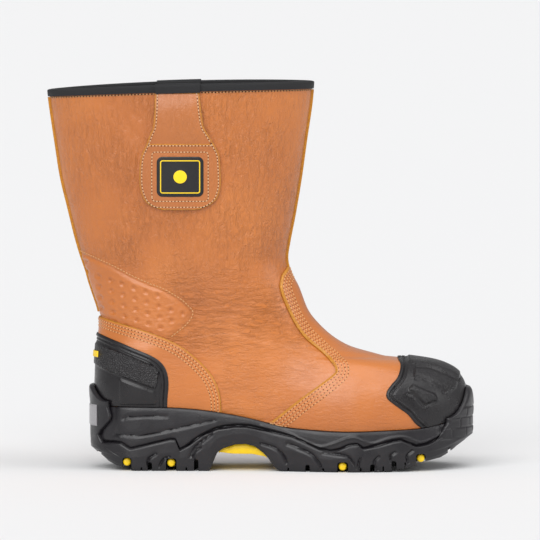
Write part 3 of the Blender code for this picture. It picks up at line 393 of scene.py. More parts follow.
def ring_at(level):
    """The ring's sizes at each level, one array per column."""
    level = np.asarray(level, float)
    return [column.reshape(level.shape) for column in read_rows(RINGS, level.ravel()).T]


def place_on(ring, turn):
    return ring[BACK] + (ring[FRONT] - ring[BACK]) * (1 + np.cos(np.pi * turn)) / 2


def point(level, turn):
    """Points of the upper's outer face."""
    level, turn = np.broadcast_arrays(np.asarray(level, float), np.asarray(turn, float))
    turn = (turn + 1) % 2 - 1
    ring = ring_at(level)
    x = place_on(ring, turn)
    y = np.where(turn >= 0, 1, -1) * half_width(ring, x) + swing(x, ring[FOLLOW])
    return np.stack([HEEL_X + x, y, ring_height(ring, x)], axis=-1)


def outward(level, turn, step=0.02):
    level = np.asarray(level, float)
    round_it = point(level, turn + step) - point(level, turn - step)
    up_it = point(level + step, turn) - point(level - step, turn)
    normal = unit(np.cross(round_it, up_it))
    normal[..., 2] *= np.minimum(np.broadcast_to(level, normal.shape[:-1]), 1.0)
    return unit(normal)


def surface(level, turn, out):
    """Points set out from the upper's outer face."""
    return point(level, turn) + outward(level, turn) * np.asarray(out, float)[..., None]


def plan(turn, out):
    """Points of the feather edge's outline, set out level with the floor."""
    turn = np.asarray(turn, float)
    ahead = point(0.0, turn + 0.01) - point(0.0, turn - 0.01)
    normal = unit(np.stack([ahead[..., 1], -ahead[..., 0], np.zeros_like(turn)], axis=-1))
    moved = point(0.0, turn) + normal * np.asarray(out, float)[..., None]
    moved[..., 2] = 0
    return moved


def spot(x, z):
    """The level and turn of each place seen from the side at x from the heel and height z."""
    x, z = np.broadcast_arrays(np.asarray(x, float), np.asarray(z, float))
    low, high = np.zeros(x.shape), np.full(x.shape, float(TOP_LEVEL))
    for _ in range(36):
        middle = (low + high) / 2
        under = ring_height(ring_at(middle), x) < z
        low, high = np.where(under, middle, low), np.where(under, high, middle)
    ring = ring_at(low)
    cosine = 2 * (x - ring[BACK]) / (ring[FRONT] - ring[BACK]) - 1
    return low, np.arccos(np.clip(cosine, -1.0, 1.0)) / np.pi


def shaft_spot(place, height):
    return spot(SHAFT_AXIS + np.asarray(place, float) * SHAFT_DEPTH, height_of(height))


def in_metres(outline, steps=20):
    """Places and heights of an outline of shares in metres, read smoothly between its points."""
    rows = read_rows(outline, np.linspace(0, len(outline) - 1, steps * (len(outline) - 1) + 1))
    return rows[:, 0] * LENGTH, height_of(rows[:, 1])


def along(level, turn, spacing):
    """The same path over the surface with its points an even distance apart."""
    steps = np.linalg.norm(np.diff(point(level, turn), axis=0), axis=1)
    run = np.concatenate([[0], np.cumsum(steps)])
    at = np.linspace(0, run[-1], max(int(run[-1] / spacing), 2) + 1)
    return np.interp(at, run, level), np.interp(at, run, turn)


def trail(outline, side, spacing=0.0005, low=LAYER_START):
    """The path of an outline of shares over one side of the boot, as levels and turns."""
    level, turn = spot(*in_metres(outline))
    on = (level > low) & (turn > 1e-4) & (turn < 1 - 1e-4)
    on = on | np.roll(on, 1) | np.roll(on, -1)
    return along(level[on], side * turn[on], spacing)


def path_frame(level, turn, side):
    """Places on a path, its direction, the way out of the leather and the way forward or up beside it."""
    places, out = point(level, turn), outward(level, turn)
    ahead = unit(np.gradient(places, axis=0))
    return places, ahead, out, -side * unit(np.cross(out, ahead))


def settle(level, turn, target, step=0.01):
    """The levels and turns of the surface points nearest to the targets, from a nearby start."""
    for _ in range(4):
        off = target - point(level, turn)
        by_level = (point(level + step, turn) - point(level - step, turn)) / (2 * step)
        by_turn = (point(level, turn + step) - point(level, turn - step)) / (2 * step)
        pairs = ((by_level, by_level), (by_level, by_turn), (by_turn, by_turn))
        a, b, c = (np.sum(first * last, -1) for first, last in pairs)
        u, v = np.sum(by_level * off, -1), np.sum(by_turn * off, -1)
        whole = np.maximum(a * c - b * b, 1e-16)
        level = np.clip(level + (c * u - b * v) / whole, 0.02, RIM_LEVEL)
        turn = turn + (a * v - b * u) / whole
    return level, turn


def beside(level, turn, side, aside, spacing=0.0005):
    """A path that runs beside another at an even distance, forward or up where aside is positive."""
    places, _, _, forward = path_frame(level, turn, side)
    return along(*settle(level, turn, places + forward * aside), spacing)


def nearest(places, samples):
    """How far each place is from the nearest of the samples."""
    tree = kdtree.KDTree(len(samples))
    for number, sample in enumerate(samples):
        tree.insert(sample, number)
    tree.balance()
    return np.array([tree.find(p)[2] for p in places.reshape(-1, 3)]).reshape(places.shape[:-1])


def from_edge(places, outline, low=LAYER_START):
    """How far each place is from an overlay's edge, which runs over both sides of the boot."""
    return nearest(places, np.vstack([point(*trail(outline, side, low=low)) for side, _ in SIDES]))


def inside(x, z, outline):
    """Which of the places lie inside a closed outline of (x, z) points."""
    found = np.zeros(x.shape, bool)
    for (x0, z0), (x1, z1) in zip(outline, outline[1:] + outline[:1]):
        if z0 != z1:
            crossing = x0 + (z - z0) * (x1 - x0) / (z1 - z0)
            found ^= ((z0 > z) != (z1 > z)) & (x < crossing)
    return found


def pad_height(places, pads, soft):
    """1 on the pads and 0 off them, with soft edges, for outlines of shares seen from the side."""
    x, z = places[..., 0] - HEEL_X, places[..., 2]
    height = np.zeros(x.shape)
    for outline in pads:
        corners = [(place * LENGTH, float(height_of(share))) for place, share in outline]
        off = np.full(x.shape, 1.0)
        for (x0, z0), (x1, z1) in zip(corners, corners[1:] + corners[:1]):
            run, rise = x1 - x0, z1 - z0
            share = np.clip(((x - x0) * run + (z - z0) * rise) / (run * run + rise * rise), 0, 1)
            off = np.minimum(off, np.hypot(x - x0 - share * run, z - z0 - share * rise))
        height = np.maximum(height, ease(0.5 + np.where(inside(x, z, corners), off, -off) / soft))
    return height


def add(tree, kind, inputs=(), **settings):
    """A shader node with its settings, and its inputs set to values or linked to sockets."""
    made = tree.nodes.new(kind)
    for key, value in settings.items():
        setattr(made, key, value)
    for key, value in dict(inputs).items():
        if isinstance(value, bpy.types.NodeSocket):
            tree.links.new(value, made.inputs[key])
        else:
            made.inputs[key].default_value = value
    return made


def start_material(name, roughness, coat=0.0, coat_roughness=0.3, specular=0.5):
    made = bpy.data.materials.new(name)
    made.use_nodes = True
    tree = made.node_tree
    shader = tree.nodes["Principled BSDF"]
    shader.inputs["Roughness"].default_value = roughness
    shader.inputs["Coat Weight"].default_value = coat
    shader.inputs["Coat Roughness"].default_value = coat_roughness
    shader.inputs["Specular IOR Level"].default_value = specular
    here = add(tree, "ShaderNodeTexCoord").outputs["Object"]
    return made, tree, shader, here


def mixed(tree, share, first, second):
    """Mixes two colours, each a socket or its red, green and blue."""
    first, second = (c if isinstance(c, bpy.types.NodeSocket) else (*c, 1) for c in (first, second))
    return add(tree, "ShaderNodeMix", {0: share, 6: first, 7: second}, data_type="RGBA").outputs[2]


def mark_of(tree, label):
    """A vertex mark of the piece, as make_piece writes it."""
    return add(tree, "ShaderNodeAttribute", attribute_name=label).outputs["Fac"]


def mixed_value(tree, share, first, second):
    return add(tree, "ShaderNodeMix", {0: share, 2: first, 3: second}).outputs[0]


def ranged(tree, value, low, high, to_low=0.0, to_high=1.0):
    inputs = {"Value": value, "From Min": low, "From Max": high, "To Min": to_low, "To Max": to_high}
    return add(tree, "ShaderNodeMapRange", inputs).outputs[0]


def product(tree, first, second):
    return add(tree, "ShaderNodeMath", {0: first, 1: second}, operation="MULTIPLY").outputs[0]


def bumped(tree, shader, layers):
    """Stacks bump layers of (height, depth in metres, strength) and feeds the shader."""
    normal = None
    for height, depth, strength in layers:
        inputs = {"Height": height, "Distance": depth, "Strength": strength}
        if normal is not None:
            inputs["Normal"] = normal
        normal = add(tree, "ShaderNodeBump", inputs).outputs[0]
    tree.links.new(normal, shader.inputs["Normal"])


def noise(tree, here, scale, detail=3.0, rough=0.55, distortion=0.0):
    inputs = {"Vector": here, "Scale": scale, "Detail": detail, "Roughness": rough, "Distortion": distortion}
    return add(tree, "ShaderNodeTexNoise", inputs).outputs["Fac"]


def turned_noise(tree, here, lean, scale, fine):
    """Noise drawn out along the boot, leaning by an angle about its Y axis."""
    inputs = {"Vector": here, "Scale": scale, "Rotation": (0, math.radians(lean), 0)}
    return noise(tree, add(tree, "ShaderNodeMapping", inputs).outputs[0], fine, 5, 0.62, 0.9)


def leather_material(name, light, dark, wrinkles, roughness=0.34):
    made, tree, shader, here = start_material(name, roughness, 0.50, 0.27)
    tone = ranged(tree, noise(tree, here, 14, 4), 0.35, 0.68)
    folds_up = turned_noise(tree, here, 24, (1, 1, 0.40), 300)
    folds_round = turned_noise(tree, here, -6, (0.34, 0.34, 1), 340)
    height = add(tree, "ShaderNodeSeparateXYZ", {0: here}).outputs[2]
    up = ranged(tree, height, 0.130, 0.185)
    folds = mixed_value(tree, up, folds_round, folds_up)
    amount = mark_of(tree, "wrinkle")
    patches = product(tree, amount, ranged(tree, noise(tree, here, 26, 2), 0.34, 0.60, 0.30, 1.0))
    # Painted shade: in the valleys of the folds, where the wrinkle mark is high, the colour darkens a little
    # towards half the dark tan.
    crease_shade = product(tree, ranged(tree, folds, 0.50, 0.36), patches)
    colour = mixed(tree, tone, light, dark)
    colour = mixed(tree, product(tree, crease_shade, 0.10), colour, [c * 0.5 for c in dark])
    rim = mark_of(tree, "rim")
    raw = ranged(tree, rim, 0.46, 0.54)
    fibres = ranged(tree, noise(tree, here, 900, 3), 0.3, 0.7)
    colour = mixed(tree, raw, colour, mixed(tree, fibres, EDGE_LIGHT, EDGE_DARK))
    tree.links.new(colour, shader.inputs["Base Color"])
    pores = add(tree, "ShaderNodeTexVoronoi", {"Vector": here, "Scale": 1000.0}).outputs["Distance"]
    grain = noise(tree, here, 620, 4, 0.6)
    rough = ranged(tree, noise(tree, here, 45, 5), 0.3, 0.7, roughness - 0.07, roughness + 0.08)
    tree.links.new(mixed_value(tree, raw, rough, 0.8), shader.inputs["Roughness"])
    bumped(tree, shader, [
        (product(tree, ranged(tree, folds, 0.34, 0.60), patches), 0.0018, wrinkles),
        (grain, 0.0004, 0.30),
        (pores, 0.0004, 0.25),
    ])
    return made


def rubber_material(name, colour, roughness=0.5, pebble=0.0, ink=None):
    made, tree, shader, here = start_material(name, roughness, specular=0.5)
    dust = ranged(tree, noise(tree, here, 60, 6, 0.65), 0.35, 0.75)
    worn = mixed(tree, dust, colour, [c * 1.6 for c in colour])
    if ink:
        mark = ranged(tree, mark_of(tree, "ink"), 0.47, 0.53)
        worn = mixed(tree, mark, worn, ink)
    tree.links.new(worn, shader.inputs["Base Color"])
    rough = ranged(tree, noise(tree, here, 110, 5), 0.3, 0.7, roughness - 0.07, roughness + 0.10)
    tree.links.new(rough, shader.inputs["Roughness"])
    layers = [(noise(tree, here, 900, 3), 0.0003, 0.4)]
    if pebble:
        mask = mark_of(tree, "pebble")
        bumps = add(tree, "ShaderNodeTexVoronoi", {"Vector": here, "Scale": 850.0}).outputs["Distance"]
        layers.append((product(tree, bumps, mask), 0.0012, pebble))
    bumped(tree, shader, layers)
    return made


def plain_material(name, light, dark, roughness, scale, depth, detail=4):
    """A colour that varies a little, with a fine bump of the given scale and depth."""
    made, tree, shader, here = start_material(name, roughness)
    grain = noise(tree, here, scale, detail, 0.6)
    tree.links.new(mixed(tree, ranged(tree, grain, 0.3, 0.7), light, dark), shader.inputs["Base Color"])
    bumped(tree, shader, [(grain, depth, 0.5)])
    return made


def tape_material(name, colour):
    """Woven tape with fine ribs."""
    made, tree, shader, here = start_material(name, 0.62)
    inputs = {"Vector": here, "Scale": 420.0, "Distortion": 0.6, "Detail": 2.0}
    ribs = add(tree, "ShaderNodeTexWave", inputs, bands_direction="X").outputs["Fac"]
    tree.links.new(mixed(tree, ribs, colour, [c * 2 for c in colour]), shader.inputs["Base Color"])
    bumped(tree, shader, [(ribs, 0.0003, 0.6), (noise(tree, here, 1600), 0.0002, 0.4)])
    return made


TAN, TAN_DARK = (0.56, 0.17, 0.026), (0.46, 0.13, 0.018)
STRAP_TAN, STRAP_DARK = (0.5, 0.155, 0.028), (0.41, 0.118, 0.018)
EDGE_LIGHT, EDGE_DARK = (0.6, 0.26, 0.014), (0.36, 0.125, 0.006)
YELLOW, YELLOW_DARK = (0.95, 0.65, 0.005), (0.9, 0.58, 0.004)
# Finish, name, light and dark colour, roughness, then the scale and the depth of the grain
PLAIN = (
    ("edge", "raw_edge", EDGE_LIGHT, EDGE_DARK, 0.75, 700, 0.0004),
    ("lining", "suede", (0.23, 0.12, 0.06), (0.17, 0.085, 0.04), 0.95, 500, 0.0005),
    ("yellow", "yellow_rubber", YELLOW, YELLOW_DARK, 0.42, 260, 0.0002),
    ("reflector", "reflector_grey", (0.26, 0.25, 0.26), (0.34, 0.33, 0.34), 0.3, 1200, 0.0001),
    ("footbed", "footbed_cloth", (0.03, 0.03, 0.034), (0.06, 0.06, 0.066), 0.95, 900, 0.0004),
    ("tan_thread", "tan_thread", (0.68, 0.38, 0.17), (0.58, 0.3, 0.12), 0.5, 2500, 0.0001),
    ("cream_thread", "cream_thread", (0.7, 0.5, 0.3), (0.6, 0.42, 0.24), 0.6, 2500, 0.0001),
    # The dots at the needle's piercings are dark brown: painted shade.
    ("hole_shade", "needle_hole_shade", (0.075, 0.022, 0.007), (0.045, 0.013, 0.004), 0.9, 900, 0.0001),
    ("dark_thread", "dark_thread", (0.004, 0.004, 0.004), (0.01, 0.009, 0.01), 0.6, 2500, 0.0001),
)
MATERIALS = {finish: plain_material(*looks) for finish, *looks in PLAIN}
MATERIALS.update({
    "leather": leather_material("tan_leather", TAN, TAN_DARK, 0.75),
    "strap": leather_material("strap_leather", STRAP_TAN, STRAP_DARK, 0.50, 0.38),
    "rubber": rubber_material("scuff_rubber", (0.0055, 0.0045, 0.0055), 0.30, 0.7),
    "midsole": rubber_material("midsole_rubber", (0.007, 0.006, 0.0078), 0.34, 0.5),
    "outsole": rubber_material("outsole_rubber", (0.0075, 0.0065, 0.0083), 0.34),
    "patch": rubber_material("badge_rubber", (0.004, 0.004, 0.005), 0.42, ink=YELLOW),
    "tape": tape_material("black_tape", (0.0035, 0.0035, 0.0045)),
})


def grid_quads(rows, columns, start=0, closed=False, looped=False):
    index = np.arange(rows * columns).reshape(rows, columns) + start
    if closed:
        index = np.hstack([index, index[:, :1]])
    if looped:
        index = np.vstack([index, index[:1]])
    return np.stack([index[:-1, :-1], index[:-1, 1:], index[1:, 1:], index[1:, :-1]], -1).reshape(-1, 4)


def border_of(rows, columns, start=0):
    index = np.arange(rows * columns).reshape(rows, columns) + start
    return np.concatenate([index[0, :-1], index[:-1, -1], index[-1, :0:-1], index[:0:-1, 0]])


def clean(mesh, weld=True):
    """Welds points that meet and turns the faces outwards."""
    work = bmesh.new()
    work.from_mesh(mesh)
    if weld:
        bmesh.ops.remove_doubles(work, verts=work.verts, dist=1e-6)
        bmesh.ops.dissolve_degenerate(work, edges=work.edges, dist=1e-7)
    bmesh.ops.recalc_face_normals(work, faces=work.faces)
    work.to_mesh(mesh)
    work.free()


def smooth(mesh, angle):
    mesh.shade_smooth()
    mesh.set_sharp_from_angle(angle=math.radians(angle))


def placed(name, data):
    """A new object of the scene."""
    made = bpy.data.objects.new(name, data)
    bpy.context.scene.collection.objects.link(made)
    return made


def make_piece(name, verts, faces, finish, slot, nodes=(), marks=None, second=None):
    """A smooth mesh that rides on the boot. marks are vertex attributes, second a finish and its faces."""
    mesh = bpy.data.meshes.new(name)
    mesh.from_pydata(np.asarray(verts, float).reshape(-1, 3).tolist(), [], [list(face) for face in faces])
    for label, values in (marks or {}).items():
        mark = mesh.attributes.new(label, "FLOAT", "POINT")
        mark.data.foreach_set("value", np.asarray(values, np.float32).ravel())
    mesh.materials.append(MATERIALS[finish])
    if second:
        mesh.materials.append(MATERIALS[second[0]])
        which = np.zeros(len(mesh.polygons), np.int32)
        which[second[1]] = 1
        mesh.polygons.foreach_set("material_index", which)
    clean(mesh)
    smooth(mesh, 50)
    made = placed(name, mesh)
    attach(made, "root")
    if nodes:
        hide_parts(*nodes)
    return made


def capped(rows, columns):
    """The faces of a tube of rings, with both its ends closed."""
    ends = [list(range(columns)), list(range((rows - 1) * columns, rows * columns))]
    return grid_quads(rows, columns, closed=True).tolist() + ends


def thread_rows(paths, pitch, size, out, holes=True):
    """Stitches, and dark dots of painted shade at the needle's piercings between them, along paths of
    (level, turn, side).
    """
    length, thick = size
    rings, sides = (-0.5, -0.36, -0.12, 0.12, 0.36, 0.5), 6
    radii = (0.12, 0.72, 1.0, 1.0, 0.72, 0.12)
    angle = np.arange(sides) * 2 * math.pi / sides
    base = np.array([
        (x * length, r * thick / 2 * math.cos(a), r * thick / 2 * math.sin(a) - (2 * x) ** 2 * thick * 0.45)
        for x, r in zip(rings, radii) for a in angle
    ])
    shape = capped(len(rings), sides)
    # Each piercing of the needle is a flat dark dot on the surface: painted shade, not cut into the leather.
    ring = [(SHADE_DOT_RADIUS * math.cos(a), SHADE_DOT_RADIUS * math.sin(a), -0.0001) for a in angle]
    dot = np.array([(0, 0, 0.0002)] + ring)
    dot_shape = [[0, 1 + i, 1 + (i + 1) % sides] for i in range(sides)] + [list(range(1, sides + 1))]
    threads, dots = ([], []), ([], [])
    for level, turn, side in paths:
        at = along(level, turn, pitch / 2)
        places, ahead, up, forward = path_frame(*at, side)
        lift = out(*at) if callable(out) else out
        places = places + up * np.reshape(lift, (-1, 1))
        for first, form, faces, (verts, found) in ((0, base, shape, threads), (1, dot, dot_shape, dots)):
            for p, a, f, u in zip(places[first::2], ahead[first::2], forward[first::2], up[first::2]):
                start = len(verts) * len(form)
                verts.append(p + form @ np.array([a, f, u]))
                found += [[start + i for i in face] for face in faces]
    return (threads, dots) if holes else (threads, None)


def sew(name, paths, pitch, size, out, thread, slot, holes=True):
    threads, dots = thread_rows(paths, pitch, size, out, holes)
    make_piece(name, np.concatenate(threads[0]), threads[1], thread, slot)
    # The dark dots at the needle's piercings are painted shade.
    if dots:
        make_piece(name + "_hole_shade", np.concatenate(dots[0]), dots[1], "hole_shade", slot)


def both_sides(outline, asides=(0.0,)):
    """Paths of (level, turn, side) along an outline, and beside it, on each side of the boot."""
    paths = []
    for side, _ in SIDES:
        level, turn = trail(outline, side)
        for aside in asides:
            at = beside(level, turn, side, aside) if aside else (level, turn)
            paths.append((*at, side))
    return paths


def edge_turns(outline, levels):
    """The turn of an edge at each level."""
    level, turn = spot(*in_metres(outline))
    order = np.argsort(level)
    return np.interp(levels, level[order], turn[order])


def even_levels(low, high, turn, spacing):
    """Levels an even distance apart up the surface at a turn."""
    steps = np.linspace(low, high, 400)
    return along(steps, np.full(400, float(turn)), spacing)[0]


def top_of(outline, end):
    """The level at which an edge reaches the centreline, at turn 0 in front or 1 behind."""
    level, turn = spot(*in_metres(outline))
    off = np.abs(turn - end) > 0.004
    return float(level[off].max())


def patch(outline, end, spacing, columns, low=LAYER_START):
    """A grid of levels and turns under an edge, over the front (end 0) or the back (end 1) of the boot."""
    top = top_of(outline, end)
    levels = even_levels(low, top, end + 0.3 * (1 - 2 * end), spacing)
    reach = np.abs(edge_turns(outline, levels) - end)
    across = np.sin(np.linspace(-math.pi / 2, math.pi / 2, columns))
    return np.repeat(levels[:, None], columns, 1), end + reach[:, None] * across[None, :]


def rounded(off, radius):
    """The share of its height that a moulded edge has at a distance from its border."""
    return np.sqrt(np.maximum(1 - (1 - np.clip(off / radius, 0, 1)) ** 2, 0.0))


def dip(off, width):
    return np.exp(-((off / width) ** 2))


def ribbed(height, off, ribs):
    """A height with ribs along the border added: each one's rise, distance from the border and width."""
    for rise, inward, width in ribs:
        height = height + rise * dip(off - inward, width)
    return height


# Grids of the overlays: how far apart their rows are, and how many columns
VAMP_GRID, BAND_GRID, PAD_GRID = (0.0014, 160), (0.0012, 150), (0.0009, 210)
CAP_GRID, COUNTER_GRID = (0.0008, 270), (0.0008, 180)
PAD_START, PAD_SEAM_START = 7.2, 8.2
LAYER_GAP, RUBBER_LEAST = 0.0001, 0.0002
CAP_ROUND, COUNTER_ROUND, STRAP_ROUND, PATCH_ROUND = 0.0022, 0.0020, 0.0011, 0.0012
RAW_EDGE, BAND_RAW_EDGE, STRAP_RAW_EDGE = 0.0017, 0.0010, 0.0009
# Stitches: how far each row is from the edge, how far apart they are, and their length and thickness
VAMP_ROWS, BAND_ROWS = (0.0026, 0.0052, 0.0078, 0.0104), (0.0026, 0.0052, 0.0078)
CAP_ROW, STRAP_ROW = 0.0042, 0.0021
VAMP_PITCH, BAND_PITCH, PAD_PITCH, FINE_PITCH = 0.0031, 0.0029, 0.0027, 0.0026
THREAD, FINE_THREAD = (0.0022, 0.0010), (0.0019, 0.0008)
# Radius of the dark dots of painted shade at the needle's piercings
SHADE_DOT_RADIUS = 0.0007
# Ribs along the edges of the rubber: rise, distance from the edge and width
CAP_RIBS = ((-0.0009, 0.0031, 0.0006), (-0.0006, 0.0053, 0.0006))
COUNTER_RIBS = ((0.0004, 0.0018, 0.0012), (-0.0009, 0.0036, 0.0006), (-0.0008, 0.0060, 0.0006))
# How far out the faces lie that the pads and lines are seen on, and how soft the edges of the pads are
CAP_FACE, COUNTER_FACE, CAP_SOFT, COUNTER_SOFT = 0.0036, 0.0030, 0.0024, 0.0010
# Moulded lines: width and depth
CAP_LINE, SWOOSH_LINE = (0.0014, 0.0019), (0.0010, 0.0016)
RIDGE_LINE, FLANK_LINE = (0.0009, -0.0010), (0.0012, 0.0019)
CREVICE_WIDTH, CREVICE_DEPTH = 0.0011, 0.0016
# The quilted pad: how far it puffs out, over which distance, and the size of its dimples and their rims
PUFF, PUFF_REACH = 0.0013, 0.0055
DIMPLE_DEPTH, DIMPLE_WIDTH = 0.0013, 0.0015
DIMPLE_RISE, DIMPLE_RIM, DIMPLE_RIM_WIDTH = 0.0003, 0.0030, 0.0012
BRICK_LINE, BRICK_DEPTH = 0.0006, 0.0006
# Heel clip and toe bumper: half their width, how far above the ground they start, and their round border
WRAP_HALF, WRAP_START, WRAP_ROUND = 0.050, 0.0060, 0.0028


def sheet_between(name, top, under, finish, slot, nodes=(), marks=None, edge=None):
    """A closed layer between two grids of points, with its border walls in the edge's finish."""
    rows, columns = top.shape[:2]
    count = rows * columns
    rim, low = border_of(rows, columns), border_of(rows, columns, count)
    walls = np.stack([low, np.roll(low, -1), np.roll(rim, -1), rim], -1)
    faces = np.concatenate([grid_quads(rows, columns), grid_quads(rows, columns, count), walls])
    verts = np.concatenate([top.reshape(-1, 3), under.reshape(-1, 3)])
    shape = (rows, columns)
    marks = {key: np.tile(np.broadcast_to(value, shape).ravel(), 2) for key, value in (marks or {}).items()}
    second = (edge, slice(len(faces) - len(walls), None)) if edge else None
    return make_piece(name, verts, faces, finish, slot, nodes, marks, second)


def layer(name, level, turn, outer, inner, *looks, **more):
    """A closed layer over a grid of levels and turns, from one height above the leather to another."""
    return sheet_between(name, surface(level, turn, outer), surface(level, turn, inner), *looks, **more)


def trough(x, z, line, width, ridge=0.0, ends=0.4):
    """1 along a smooth line seen from the side, falling off over its width, and below 0 on its banks."""
    steps = read_rows(line, np.linspace(0, len(line) - 1, 24 * len(line)))
    low, high = steps.min(0) - 4 * width, steps.max(0) + 4 * width
    near = (x > low[0]) & (x < high[0]) & (z > low[1]) & (z < high[1])
    found = np.zeros(x.shape)
    if near.any():
        off = np.hypot(x[near][:, None] - steps[:, 0], z[near][:, None] - steps[:, 1])
        share = off.argmin(1) / (len(steps) - 1)
        q = (off.min(1) / width) ** 2
        found[near] = (1 - ridge * q) * np.exp(-q) * (4 * share * (1 - share)) ** ends
    return found


def creases(level, turn):
    """Soft folds of the shaft, the ankle and the waist, set out from the leather."""
    places = point(level, turn)
    x, z = places[..., 0] - HEEL_X, places[..., 2]
    lateral = ((turn + 1) % 2 - 1) < 0
    found = np.zeros(x.shape)
    for first, last, count, width, depth in CREASES:
        first, last = np.array(first), np.array(last)
        for number in range(count):
            share = number / max(count - 1, 1)
            line = first + (last - first) * share
            line = line + 0.010 * np.sin(2.4 * number + 1.7 * np.arange(len(line)))[:, None]
            for mirror in (False, True):
                line_x = (SHAFT_MIRROR - line[:, 0] if mirror else line[:, 0]) * LENGTH
                here = trough(x, z, np.stack([line_x, height_of(line[:, 1])], -1), width, 1.2)
                found -= depth * (0.6 + 0.4 * math.sin(5.1 * number)) * np.where(lateral != mirror, here, 0)
    return found


def build_upper():
    levels = even_levels(0.0, RIM_LEVEL, 0.5, 0.00135)
    turns = np.linspace(-1, 1, 350, endpoint=False)
    level, turn = np.meshgrid(levels, turns, indexing="ij")
    low, same = np.meshgrid(np.linspace(RIM_LEVEL, 0.0, 36), turns, indexing="ij")
    outer = surface(level, turn, creases(level, turn))
    inner = surface(low, same, -WALL)
    height = outer[..., 2]
    amount = 0.35 + 0.65 * ease((height - 0.085) / 0.03) - 0.35 * ease((height - 0.17) / 0.03)
    marks = {"wrinkle": np.concatenate([amount.ravel(), np.zeros(low.size)])}
    faces = grid_quads(len(level) + len(low), len(turns), closed=True, looped=True)
    lining = slice(len(level) * len(turns), None)
    verts = np.concatenate([outer.reshape(-1, 3), inner.reshape(-1, 3)])
    make_piece("upper_leather", verts, faces, "leather", "leather_upper", ["upper"], marks,
               ("lining", lining))


def rim_mark(off, width=RAW_EDGE):
    """The mark by which leather shows its raw edge: above 0.5 nearer to the border than the width."""
    return np.clip(1 - off / (2 * width), 0, 1)


def build_vamp():
    level, turn = patch(VAMP_EDGE, 0, *VAMP_GRID)
    off = from_edge(point(level, turn), VAMP_EDGE)
    outer = GAP + VAMP_THICK * (0.45 + 0.55 * ease(off / RAW_EDGE))
    marks = {"rim": rim_mark(off), "wrinkle": 0.18}
    layer("vamp_leather", level, turn, outer, GAP, "leather", "leather_upper",
          ["vamp"], marks=marks, edge="edge")
    paths = both_sides(VAMP_EDGE, VAMP_ROWS)
    sew("vamp_stitches", paths, VAMP_PITCH, THREAD, GAP + VAMP_THICK, "tan_thread", "leather_upper")


def build_heel_band():
    level, turn = patch(BAND_EDGE, 1, *BAND_GRID)
    off = from_edge(point(level, turn), BAND_EDGE)
    outer = GAP + BAND_THICK * (0.4 + 0.6 * ease(off / 0.0012))
    marks = {"rim": rim_mark(off, BAND_RAW_EDGE), "wrinkle": 0.15}
    layer("heel_band_leather", level, turn, outer, GAP, "leather", "leather_upper",
          ["heel_band"], marks=marks, edge="edge")
    paths = both_sides(BAND_EDGE, [-row for row in BAND_ROWS])
    sew("heel_band_stitches", paths, BAND_PITCH, THREAD, GAP + BAND_THICK, "tan_thread", "leather_upper")


def line_troughs(places, lines, width, depth, heights=height_of):
    x, z = places[..., 0] - HEEL_X, places[..., 2]
    found = np.zeros(x.shape)
    for line in lines:
        line = np.array(line)
        path = np.stack([line[:, 0] * LENGTH, heights(line[:, 1])], -1)
        found = np.maximum(found, trough(x, z, path, width, ends=0.15))
    return depth * found


def build_toe_cap():
    level, turn = patch(CAP_EDGE, 0, *CAP_GRID)
    off = from_edge(point(level, turn), CAP_EDGE)
    base = GAP + VAMP_THICK + LAYER_GAP
    height = (CAP_THICK - VAMP_THICK) * rounded(off, CAP_ROUND)
    height = ribbed(height, off, CAP_RIBS)
    raised = surface(level, turn, CAP_FACE)
    pads = pad_height(raised, CAP_PADS, CAP_SOFT)
    height = height + CAP_PAD * pads - line_troughs(raised, CAP_GROOVES, *CAP_LINE)
    outer = base + np.maximum(height, RUBBER_LEAST)
    layer("toe_cap_rubber", level, turn, outer, base, "rubber", "black_scuff_rubber",
          ["toe_cap"], marks={"pebble": 0.2 + 0.25 * pads})
    sew("toe_cap_stitches", both_sides(CAP_EDGE, [CAP_ROW]), FINE_PITCH, FINE_THREAD, base + 0.0012,
        "dark_thread", "black_scuff_rubber", False)


def build_heel_counter():
    level, turn = patch(COUNTER_EDGE, 1, *COUNTER_GRID)
    off = from_edge(point(level, turn), COUNTER_EDGE)
    base = GAP + BAND_THICK + LAYER_GAP
    height = (COUNTER_THICK - BAND_THICK) * rounded(off, COUNTER_ROUND)
    height = ribbed(height, off, COUNTER_RIBS)
    raised = surface(level, turn, COUNTER_FACE)
    height = height + COUNTER_PANEL * pad_height(raised, COUNTER_PADS, COUNTER_SOFT)
    marks = {"pebble": pad_height(raised, COUNTER_PADS[:1], COUNTER_SOFT)}
    layer("heel_counter_rubber", level, turn, base + np.maximum(height, RUBBER_LEAST), base, "rubber",
          "black_scuff_rubber", ["heel_counter"], marks=marks)


